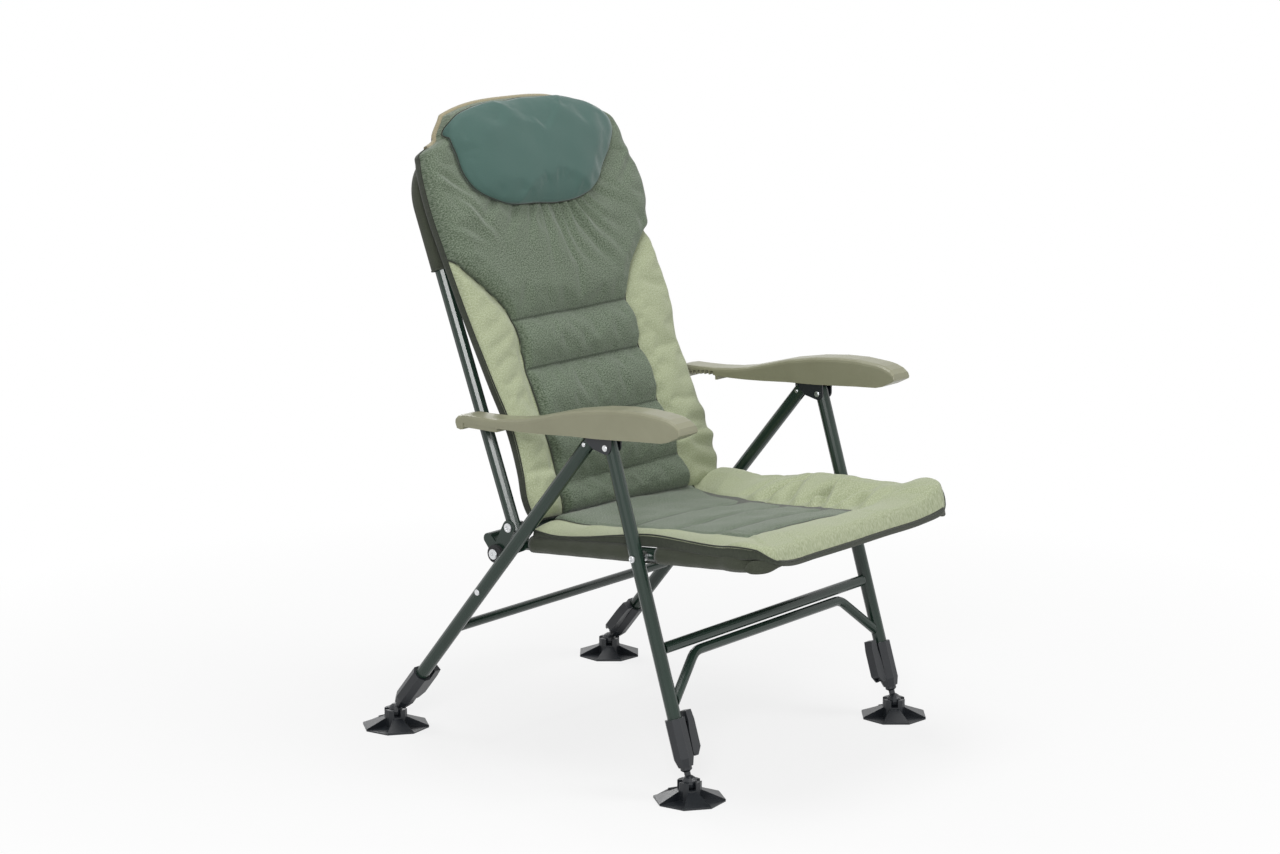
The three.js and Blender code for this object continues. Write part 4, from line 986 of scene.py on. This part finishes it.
def seat_pad_height(x, d):
    """Height of the cushion's top above the plane of the tubes."""
    seam = from_table(FAR_SEAM_LINE, np.clip(d, SEAT_PAD_REAR, SEAT_PAD_FRONT))
    share = np.clip((x - seam) / (SEAT_PAD_HALF - seam), 0, 1)
    across = np.clip((x - NEAR_SEAM) / (seam - NEAR_SEAM), 0, 1)
    middle = (MIDDLE_TOP - MIDDLE_FALL * across) * MM + 6 * MM * np.sin(math.pi * across) ** 0.8
    middle = middle - CHANNEL_DEEP * MM * sum(bump(d - place, 7 * MM) for place in CROSS_SEAMS)
    middle = middle + 5 * MM * step_up(-d, 150 * MM, 215 * MM)
    near_share = np.clip((x + SEAT_PAD_HALF) / (NEAR_SEAM + SEAT_PAD_HALF), 0, 1)
    near_edge = from_table(NEAR_EDGE_TOP, d)
    near = near_edge + (MIDDLE_TOP * MM - near_edge) * near_share
    near = near + 2.5 * MM * np.sin(math.pi * near_share)
    ridge = from_table(ROLL_RIDGE, d)
    rise = np.sin(math.pi / 2 * np.clip(share / ROLL_CREST, 0, 1)) ** 0.95
    fall = np.clip((share - ROLL_CREST) / ROLL_FALL, 0, 1) ** 2
    roll = ROLL_START * MM + (ridge - ROLL_START * MM) * rise - (ridge - ROLL_OUTER * MM) * fall
    for place, deep, wide, lean in ROLL_FOLDS:
        off = d - place * MM - lean * MM * (share - 0.25)
        inner = step_up(share, 0.0, 0.10) * (1 - step_up(share, 0.42, 0.85))
        roll = roll - FOLD_DEEP * deep * MM * bump(off, 0.8 * wide * MM) * inner
        roll = roll + FOLD_PUSH * deep * MM * bump(off - 1.8 * wide * MM, wide * MM) * inner
    roll = np.maximum(roll, ROLL_LOWEST * MM)
    high = np.where(x < NEAR_SEAM, near, np.where(x > seam, roll, middle))
    band_share = np.clip((d - FRONT_SEAM) / (SEAT_PAD_FRONT - SEAT_EDGE - FRONT_SEAM), 0, 1)
    seam_high = (
        MIDDLE_TOP - 13 * step_up(x, -200 * MM, 110 * MM) + 22 * step_up(x, 110 * MM, 210 * MM)
    ) * MM
    band_high = seam_high + (24 * MM - seam_high) * band_share
    band_high = band_high + 4.5 * MM * np.sin(math.pi * band_share)
    band_high = band_high + 17 * MM * step_up(x, 150 * MM, 225 * MM) * band_share
    fade = step_up(d, FRONT_SEAM - 4 * MM, FRONT_SEAM + 14 * MM)
    for corner, reach, sign in MITRES:
        mitre = (x - corner) * sign - (d - FRONT_SEAM) * reach * MM / (BAND_WIDE * MM)
        band_high = band_high - MITRE_DEEP * MM * bump(mitre, 3.2 * MM) * fade
        band_high = band_high + 3.5 * MM * bump(mitre + 8 * MM, 6 * MM) * fade
    for place, deep, lean in BAND_CREASES:
        off = x - place * MM - lean * (SEAT_PAD_FRONT - d)
        band_high = band_high - deep * MM * bump(off, 4 * MM) * band_share ** 0.7
    band = step_up(d, FRONT_SEAM - 1 * MM, FRONT_SEAM + 5 * MM)
    high = high * (1 - band) + band_high * band
    seams = (bump(x - NEAR_SEAM, 4.5 * MM) + bump(x - seam, 6 * MM)) * (1 - band)
    seams = seams + bump(d - FRONT_SEAM, 4.5 * MM) * ((x > NEAR_SEAM) & (x < seam + 25 * MM))
    high = high - SEAM_DEEP * MM * np.clip(seams, 0, 1)
    return high + 0.8 * MM * slow_noise(x, d, 0.10, 5)


WALL = (
    (0.0, -2.5, 0.0), (1.0, 0.2, 0.16), (3.5, 1.8, 1.0), (7.0, 0.6, 1.0), (11.5, 0.2, 1.0),
    (17.0, 0.0, 1.0),
)
SIDE_TOP = 26
REAR_TOP = 25
REAR_LOW = 14
FRONT_WALL = 7.5


def seat_pad_shape(u, v, face):
    x, d, half = seat_place(u, v)
    side_in = (1 - abs(2 * u - 1)) * half
    front_in = SEAT_PAD_FRONT - d
    rear_in = d - SEAT_PAD_REAR
    inset = np.minimum(np.minimum(side_in, front_in), rear_in)
    t, out, rise = np.array(WALL).T
    outward = np.interp(inset / MM, t, out) * MM * (inset < SEAT_EDGE)
    share = np.interp(inset / MM, t, rise)
    ahead = (front_in <= np.minimum(side_in, rear_in)).astype(float)
    behind = (rear_in < np.minimum(side_in, front_in)).astype(float)
    beside = 1 - ahead - behind
    side = np.sign(x)
    under_back = REAR_REACH * (1 - (2 * u - 1) ** 6) * step_up(-d, 150 * MM, -SEAT_PAD_REAR)
    moved_x = x + side * outward * beside
    moved_d = d + outward * (ahead - behind) - under_back
    front_top = from_table(FRONT_EDGE_TOP, x)
    side_top = np.where(side < 0, from_table(NEAR_EDGE_TOP, d), SIDE_TOP * MM)
    side_low = (12.5 - 6.5 * step_up(d, 0.0, 190 * MM)) * MM
    near_front = step_up(front_in, 0.0, 26 * MM)
    edge_top = side_top * near_front + front_top * (1 - near_front)
    edge_low = side_low * near_front + (front_top - FRONT_WALL * MM) * (1 - near_front)
    edge_top = edge_top * (1 - behind) + REAR_TOP * MM * behind
    edge_low = edge_low * (1 - behind) + REAR_LOW * MM * behind
    top = seat_pad_height(x, d)
    if face:
        wall = edge_low + np.minimum(share, 1.0) * (edge_top - edge_low)
        into = np.clip((inset - 3.5 * MM) / (SEAT_EDGE - 3.5 * MM), 0, 1)
        over = np.sqrt(1 - (1 - into) ** 2)
        return on_seat(moved_x, moved_d, wall + (top - wall) * over)
    radius = CLOTH_OUT + 0.7 * MM
    past_front = np.clip(d - SEAT_FRONT_AHEAD, 0, radius)
    past_side = np.clip(abs(x) - TUBE_X, 0, radius)
    past = np.maximum(past_front, past_side)
    under = np.sqrt(np.clip(radius ** 2 - past ** 2, 0, None)) - 0.3 * MM
    under = np.maximum(np.minimum(under, radius), edge_low + 1.0 * MM)
    under = np.where(inset > 0, under, edge_low)
    pulled = np.interp(inset / MM, (0.5, 4, 17), (-3.6, -2.0, 0))
    pulled = np.where(inset > 0, pulled, out[0]) * MM * (inset < SEAT_EDGE)
    return on_seat(x + side * pulled * beside, d + pulled * (ahead - behind) - under_back, under)


SEAT_CELL = 5.5 * MM
SEWN_NEAR = 3.0 * MM
SEAM_NEAR = 3.2 * MM
NO_STITCH = 1.0


def sewn_numbers(x, along, outside, stitch):
    """A pad's attributes: flat cloth coordinates, seam distance and channel distance."""
    flat = np.stack([x, along, 0 * along], -1)
    return {"cloth": flat, "panel": outside, "stitch": stitch}


def seat_pad_numbers(u, v):
    x, d, _ = seat_place(u, v)
    seam = from_table(FAR_SEAM_LINE, d)
    outside = np.maximum(np.maximum(NEAR_SEAM - x, x - seam), d - FRONT_SEAM)
    stitch = np.minimum.reduce([abs(d - place) for place in CROSS_SEAMS] + [abs(outside)])
    return sewn_numbers(x, d, outside, np.where(outside > 3 * MM, NO_STITCH, stitch))


seat_across = stations(2 * SEAT_PAD_HALF, RIM_INSETS, SEAT_CELL)
seat_along = stations(
    SEAT_PAD_FRONT - SEAT_PAD_REAR,
    RIM_INSETS,
    SEAT_CELL,
    [place - SEAT_PAD_REAR for place in (*CROSS_SEAMS, FRONT_SEAM)],
)
seat_pad, seat_ids = pad_mesh(
    "seat_cushion_pad",
    seat_across,
    seat_along,
    seat_pad_shape,
    [mattress_front, mattress_side],
    seat_pad_numbers,
    wall_cells=2,
)
seat_numbers = seat_pad_numbers(*np.meshgrid(seat_across, seat_along))
seat_sewn = (abs(seat_numbers["panel"]) < SEAM_NEAR) | (seat_numbers["stitch"] < SEWN_NEAR)
puff(seat_pad, seat_ids, seat_sewn, SEAT_UP, pressure=3.5, spare=0.02, cap=4 * MM)


def front_line(piece, ids, across, along, u, v):
    """Points of a pad's front at shares across and along it, which may fall between its points."""
    points = point_array(piece.data)[ids.ravel()].reshape(*ids.shape, 3)
    rows = np.interp(v, along, np.arange(len(along)))
    columns = np.interp(u, across, np.arange(len(across)))
    r = np.clip(rows.astype(int), 0, len(along) - 2)
    c = np.clip(columns.astype(int), 0, len(across) - 2)
    a, b = (rows - r)[:, None], (columns - c)[:, None]
    return (
        points[r, c] * (1 - a) * (1 - b)
        + points[r + 1, c] * a * (1 - b)
        + points[r, c + 1] * (1 - a) * b
        + points[r + 1, c + 1] * a * b
    )


def seat_line(x, d):
    v = (d - SEAT_PAD_REAR) / (SEAT_PAD_FRONT - SEAT_PAD_REAR)
    u = (x / seat_place(0.5 + 0 * v, v)[2] + 1) / 2
    on_top = front_line(seat_pad, seat_ids, seat_across, seat_along, u, v)
    return on_top + SEAT_UP * 0.3 * MM


PIPING_R = 1.3 * MM
THIN_PIPING_R = 0.8 * MM
side_run = np.linspace(SEAT_PAD_REAR + 6 * MM, FRONT_SEAM, 60)
cross_run = np.linspace(NEAR_SEAM, float(from_table(FAR_SEAM_LINE, FRONT_SEAM)), 60)
rim = point_array(seat_pad.data)[seat_ids]
rim_loop = np.concatenate([rim[2:-2, 2], rim[-3, 3:-3], rim[2:-2, -3][::-1]])
seat_trims = [
    ("seat_piping_near", seat_line(NEAR_SEAM + 0 * side_run, side_run), THIN_PIPING_R),
    ("seat_piping_far", seat_line(from_table(FAR_SEAM_LINE, side_run), side_run), THIN_PIPING_R),
    ("seat_piping_front", seat_line(cross_run, FRONT_SEAM + 0 * cross_run), THIN_PIPING_R),
    ("seat_edge_piping", rim_loop, PIPING_R),
]
smooth_once(seat_pad)
lay_on(seat_pad, "seat", "mattress_fabric", "seat_cushion")


def flatten(piece):
    """Gives a soft piece its own copy of its mesh."""
    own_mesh(piece)


def lay_trim(name, path, radius, cloth, body, up, base):
    trim = thread_tube(name, path, radius, cloth)
    lay_on(trim, body, "mattress_fabric")
    flatten(trim)


for seat_trim in seat_trims:
    lay_trim(*seat_trim, dark_piping, "seat", SEAT_UP, FRONT_PIVOT)
flatten(seat_pad)

# Back cushion: a long pad with a dark quilted middle between two pale side panels that run out to
# the edges above the armrests. It is gathered under the head pillow and bound in tan at the top.
# Tables and plain names give its shape in millimetres.

BACK_LOW = -10.0 * MM
BACK_HIGH = 683.0 * MM
BACK_UNDER = 14.0 * MM
BACK_HALF = 250
BACK_LONG = 693
PANEL_SEAM = 73.0 * MM
SHOULDER = 612 * MM
CHANNELS = (43.0 * MM, 140.0 * MM, 235.0 * MM, 317.0 * MM)
RIGHT_EDGE = (
    (-12, 224), (4, 233), (25, 238), (73, 235), (141, 236), (228, 243), (332, 247), (447, 252),
    (516, 255), (561, 252), (596, 245), (610, 238), (617, 218), (624, 200), (640, 191), (656, 181),
    (683, 160),
)
LEFT_EDGE = (
    (-12, 228), (6, 241), (43, 251), (92, 251), (142, 247), (192, 243), (230, 238), (294, 252),
    (331, 254), (387, 249), (431, 246), (484, 260), (527, 264), (577, 254), (612, 246), (632, 236),
    (650, 214), (683, 160),
)
RIGHT_RIM = (
    (-12, 13), (73, 24), (141, 30), (228, 26), (332, 18), (447, 14), (560, 13), (612, 12),
    (640, 8), (683, 8),
)
RIGHT_SEAM = (
    (-12, 166), (42, 160), (110, 156), (167, 155), (231, 156), (259, 153), (316, 153), (347, 169),
    (374, 194), (406, 226), (435, 256), (450, 285), (480, 400), (700, 900),
)
LEFT_SEAM = (
    (-12, 155), (22, 153), (64, 150), (126, 142), (169, 138), (223, 136), (265, 137), (307, 137),
    (342, 148), (370, 167), (397, 198), (424, 230), (436, 256), (450, 290), (480, 400), (700, 900),
)
RIM_HIGH = 13
PAD_THICK = 22
QUILT_SWELL = 17
SIDE_SWELL = 9
PILLOW_THIN = 4
BACK_CELLS = (4.6 * MM, 5.0 * MM)
GATHER_CENTRE = (4.0 * MM, 590.0 * MM)
GATHER_START = 96 * MM
GATHER_DEEP = 1.7
GATHER_PUSH = 0.9
GATHERS = (
    (-72, 5, 0.0, 120), (-58, 6, 0.4, 150), (-43, 5, 0.2, 120), (-27, 4, 0.3, 110),
    (-12, 4, 0.1, 150), (3, 5, 0.0, 175), (14, 6, 0.5, 150), (25, 7, 0.3, 190), (35, 7, 0.1, 170),
    (45, 6, 0.6, 150), (57, 6, 0.2, 130), (69, 4, 0.4, 110),
)
SHOULDER_FOLDS = (
    (-238, 560, -50, 90, 5.5), (-215, 520, -38, 120, 5.0), (-235, 470, -62, 80, 3.5),
    (232, 560, 52, 90, 4.5),
)


BACK_EDGES = (RIGHT_EDGE, LEFT_EDGE)
BACK_SEAMS = (RIGHT_SEAM, LEFT_SEAM)


def by_side(x, tables, s):
    """Values of the right table where x is right of the middle, and of the left one elsewhere."""
    return np.where(x < 0, from_table(tables[0], s), from_table(tables[1], s))


def back_share(s):
    """Share of the cushion's length that lies below a place."""
    return (s - BACK_LOW) / (BACK_HIGH - BACK_LOW)


def back_place(u, v):
    """Place of a grid point on the back cushion: across, and up along the backrest."""
    side = 2 * u - 1
    s = BACK_LOW + v * (BACK_HIGH - BACK_LOW)
    half = by_side(side, BACK_EDGES, s)
    drop = 17 * MM * abs(side) ** 3 * step_up(v, 0.9, 1.0)
    tilt = -9 * MM * side * (1 - v) ** 6
    return side * half, s - drop + tilt


def seam_x(x, s):
    """Distance of the seam from the middle, on the side where x is."""
    return by_side(x, BACK_SEAMS, s)


def panel_distance(x, s):
    slope = (seam_x(x, s + 2 * MM) - seam_x(x, s - 2 * MM)) / (4 * MM)
    return (abs(x) - seam_x(x, s)) / np.sqrt(1 + slope ** 2)


def gather_folds(x, s):
    """Folds that run out from under the pillow, and diagonal ones at the shoulders."""
    dx, ds = x - GATHER_CENTRE[0], s - GATHER_CENTRE[1]
    reach = np.hypot(dx, ds)
    turn = np.degrees(np.arctan2(dx, -ds))
    total = 0.0
    for angle, deep, bend, length in GATHERS:
        off = np.radians(turn - angle - bend * 8 * np.sin(reach * 30)) * reach
        past = reach - GATHER_START
        fade = np.clip(1 - past / (length * MM), 0, 1) ** 1.3
        fade = fade * step_up(reach, 60 * MM, GATHER_START)
        wide = 3.8 * MM + 0.045 * np.maximum(past, 0)
        total = total - GATHER_DEEP * deep * MM * bump(off, wide) * fade
        total = total + GATHER_PUSH * deep * MM * bump(off - 2.1 * wide, 1.3 * wide) * fade
    for fx, fs, angle, length, deep in SHOULDER_FOLDS:
        c, n = math.cos(math.radians(angle)), math.sin(math.radians(angle))
        ax, al = x - fx * MM, s - fs * MM
        along, off = -(al * c) + ax * -n, ax * c - al * n
        fade = 1 - step_up(along, 0.35 * length * MM, length * MM)
        fade = step_up(along, -25 * MM, 10 * MM) * fade
        total = total + deep * MM * (bump(off, 8 * MM) - 0.8 * bump(off - 13 * MM, 7 * MM)) * fade
    return total


def back_pad_height(x, s):
    """How far the cushion's front stands forward of its back, without the gathers."""
    outside = panel_distance(x, s)
    inner = 1 - step_up(outside, -6 * MM, 0.0)
    marks = (BACK_LOW - 26 * MM, *CHANNELS, 760 * MM)
    roll = 0.0
    for low, high in zip(marks[:-1], marks[1:]):
        t = np.clip((s - low) / (high - low), 0, 1)
        if high > BACK_HIGH:
            t = np.clip((s - low) / (110 * MM), 0, 0.5)
        roll = roll + np.where((s >= low) & (s < high), (1 - abs(2 * t - 1) ** 2.3), 0.0)
    swell = QUILT_SWELL * MM * roll ** 0.6
    side_swell = SIDE_SWELL * MM * step_up(outside, 0.0, 24 * MM)
    pillow_thin = PILLOW_THIN * MM * step_up(s, 480 * MM, 560 * MM)
    high = np.where(outside < 0, swell * (0.12 + 0.88 * inner), side_swell)
    high = PAD_THICK * MM + high - pillow_thin
    high = high - 4.5 * MM * bump(outside, 4.5 * MM) * (s < 440 * MM)
    flap = step_up(outside, 2 * MM, 12 * MM)
    high = high - 4 * MM * bump(s - PANEL_SEAM, 4 * MM) * flap
    high = high + 3 * MM * bump(s - 60 * MM, 9 * MM) * flap
    creases = 4.0 * MM * np.sin(s * 150 + 46 * x) * step_up(x, 165 * MM, 205 * MM)
    high = high + creases * bump(s - 60 * MM, 75 * MM)
    return high + 1.1 * MM * slow_noise(x, s, 0.12, 21) + 0.5 * MM * slow_noise(x, s, 0.045, 8)


def back_pad_levels(u, v, x, s, folds):
    """Levels of the cushion's front and rim, and the distance in from its edge."""
    inset = np.minimum(
        np.minimum(u, 1 - u) * 2 * BACK_HALF * MM,
        np.minimum(v, 1 - v) * (BACK_HIGH - BACK_LOW),
    )
    top = back_pad_height(x, s) + folds
    full = np.sqrt(1 - (1 - np.clip(inset / (19 * MM), 0, 1)) ** 2)
    left_rim = RIM_HIGH * MM - 5 * MM * step_up(s, 590 * MM, 640 * MM)
    rim = np.where(x < 0, from_table(RIGHT_RIM, s), left_rim)
    rim = RIM_HIGH * MM + (rim - RIM_HIGH * MM) * step_up(abs(2 * u - 1), 0.55, 1.0)
    top = np.maximum(top, rim + 6 * MM)
    return BACK_UNDER + rim + (top - rim) * full, rim, inset


def back_pad_shape(u, v, face):
    x, s = back_place(u, v)
    folds = gather_folds(x, s) * step_up(s, 330 * MM, 380 * MM)
    top, rim, inset = back_pad_levels(u, v, x, s, folds)
    if face:
        return on_back(x, s, top)
    lifted = (rim - RIM_HIGH * MM) * 0.8
    return on_back(x, s, BACK_UNDER + np.where(inset > 0, np.maximum(lifted, 0.0), rim))


def back_pad_numbers(u, v):
    x, s = back_place(u, v)
    outside = panel_distance(x, s)
    channel = np.minimum.reduce([abs(s - place) for place in CHANNELS])
    return sewn_numbers(
        x, s, outside, np.where(outside < 0, np.minimum(channel, abs(outside)), NO_STITCH)
    )


back_across = stations(2 * BACK_HALF * MM, RIM_INSETS, BACK_CELLS[0])
back_along = stations(
    BACK_HIGH - BACK_LOW,
    RIM_INSETS,
    BACK_CELLS[1],
    [place - BACK_LOW for place in (*CHANNELS, PANEL_SEAM)],
)
back_pad, back_ids = pad_mesh(
    "back_cushion_pad",
    back_across,
    back_along,
    back_pad_shape,
    [mattress_front, mattress_side],
    back_pad_numbers,
)
SEAMS_HELD_TO = 0.66
PILLOW_HOLD = (190, 92)
PILLOW_MIDDLE = 592
back_u, back_v = np.meshgrid(back_across, back_along)
back_numbers = back_pad_numbers(back_u, back_v)
back_seams = (abs(back_numbers["panel"]) < SEAM_NEAR) & (back_v < SEAMS_HELD_TO)
under_pillow = np.hypot(
    (back_u - 0.5) * 2 * BACK_HALF / PILLOW_HOLD[0],
    (BACK_LOW / MM + back_v * BACK_LONG - PILLOW_MIDDLE) / PILLOW_HOLD[1],
) < 1
back_sewn = (back_numbers["stitch"] < SEWN_NEAR) | back_seams | under_pillow
puff(back_pad, back_ids, back_sewn, BACK_FORWARD, pressure=3.5, spare=0.02, cap=6 * MM)


def back_seam_line(side, high):
    """Points on the cushion's front along one curved seam."""
    s = np.linspace(-6 * MM, high, 110)
    x = side * seam_x(side, s)
    u = (np.clip(x / by_side(side, BACK_EDGES, s), -1, 1) + 1) / 2
    on_top = front_line(back_pad, back_ids, back_across, back_along, u, back_share(s))
    return on_top + BACK_FORWARD * 0.4 * MM


rim = point_array(back_pad.data)[back_ids]
row = int(np.searchsorted(back_along, back_share(SHOULDER)))
edge_loop = np.concatenate([rim[row::-1, 0], rim[0, 1:-1], rim[:row + 1, -1]])
top_loop = np.concatenate([rim[row:, 0], rim[-1, 1:-1], rim[:row - 1:-1, -1]])
right_seam = back_seam_line(-1, 433 * MM)
left_seam = back_seam_line(1, 434 * MM)
smooth_once(back_pad)
lay_on(back_pad, "back", "mattress_fabric", "back_cushion")
flatten(back_pad)
for back_trim in (
    ("back_piping_right", right_seam, 1.2 * MM, dark_piping),
    ("back_piping_left", left_seam, 1.2 * MM, dark_piping),
    ("back_edge_piping", edge_loop, PIPING_R, dark_piping),
    ("back_top_binding", top_loop, 4.6 * MM, tan_binding),
):
    lay_trim(*back_trim, "back", BACK_FORWARD, HINGE)

# Head pillow: a shield-shaped foam pillow in smooth teal knitted cloth, sewn round its edge to the
# front of the back cushion.

PILLOW_CENTRE = (10.0 * MM, PILLOW_MIDDLE * MM)
PILLOW_OUTLINE = (
    (-190, 637), (-191, 618), (-186, 594), (-183, 566), (-170, 537), (-125, 510), (-54, 498),
    (13, 493), (87, 500), (133, 521), (163, 550), (198, 583), (212, 606), (208, 628), (182, 648),
    (134, 664), (68, 674), (8, 677), (-62, 674), (-128, 667), (-172, 653),
)
PILLOW_UNDER = 47.9 * MM
PILLOW_HIGH = 34.0 * MM
PILLOW_RIM = 5.0 * MM


def pillow_place(u, v):
    """A square grid laid over the pillow's rounded outline, with the distance in from its edge."""
    a, b = 2 * u - 1, 2 * v - 1
    dx, ds = a * np.sqrt(1 - b * b / 2), b * np.sqrt(1 - a * a / 2)
    corners = np.array(PILLOW_OUTLINE) * MM - np.array(PILLOW_CENTRE)
    angle = np.arctan2(corners[:, 1], corners[:, 0])
    order = np.argsort(angle)
    angle, radius = angle[order], np.hypot(*corners[order].T)
    wrapped = [pair for lap in (-1, 0, 1) for pair in zip(angle + lap * 2 * math.pi, radius)]
    turn = np.arctan2(ds, dx)
    reach = curve(wrapped, turn) * np.hypot(dx, ds)
    inward = 1 - np.maximum(abs(a), abs(b))
    return PILLOW_CENTRE[0] + reach * np.cos(turn), PILLOW_CENTRE[1] + reach * np.sin(turn), inward


def pillow_shape(u, v, face):
    x, s, inward = pillow_place(u, v)
    full = np.sqrt(1 - (1 - np.clip(inward / 0.62, 0, 1)) ** 2)
    lean = 3.0 * MM * step_up(s, 560 * MM, 670 * MM)
    across = (np.clip(x / by_side(x, BACK_EDGES, s), -1, 1) + 1) / 2
    along = np.clip(back_share(s), 0, 1)
    under = back_pad_levels(across, along, x, s, 0.0)[0] + 0.3 * MM
    if face:
        level = under + (PILLOW_UNDER - under) * full
        crown = (PILLOW_HIGH - PILLOW_RIM - 5 * MM - lean) * full ** 1.15
        level = level + PILLOW_RIM + crown + 0.5 * MM * slow_noise(x, s, 0.09, 31) * full
        return on_back(x, s, level)
    return on_back(x, s, under + PILLOW_RIM * (inward <= 1e-6))


def pillow_numbers(u, v):
    x, s, _ = pillow_place(u, v)
    return {"cloth": np.stack([x, s, 0 * s], -1)}


pillow_knit = woven_cloth(
    "pillow_knit",
    dark=(0.038, 0.092, 0.078),
    pale=(0.084, 0.150, 0.131),
    patch=(0.066, 0.130, 0.112),
    thread=0.75 * MM,
    heather=900.0,
    rough=(0.70, 0.82),
    specular=0.3,
    sheen=(0.35, 0.4),
    relief=(0.05 * MM, 0.4),
)
pillow_grid = stations(2 * 200 * MM, (0.0, 2.0 * MM, 5.0 * MM, 9.0 * MM, 14.0 * MM), 6.5 * MM)
pillow, pillow_ids = pad_mesh(
    "head_pillow_pad",
    pillow_grid,
    pillow_grid,
    pillow_shape,
    [pillow_knit, pillow_knit],
    pillow_numbers,
)
unsewn = np.zeros(pillow_ids.shape, bool)
puff(pillow, pillow_ids, unsewn, BACK_FORWARD, pressure=3.0, spare=0.01, cap=3 * MM)
rim = point_array(pillow.data)[pillow_ids]
pillow_loop = np.concatenate([
    rim[-1, :], rim[::-1, -1][1:], rim[0, ::-1][1:], rim[:, 0][1:-1], rim[-1, :2],
])
smooth_once(pillow)
lay_on(pillow, "back", "pillow_fabric", "head_pillow")
flatten(pillow)
lay_trim("pillow_seam", pillow_loop, 0.9 * MM, dark_piping, "back", BACK_FORWARD, HINGE)
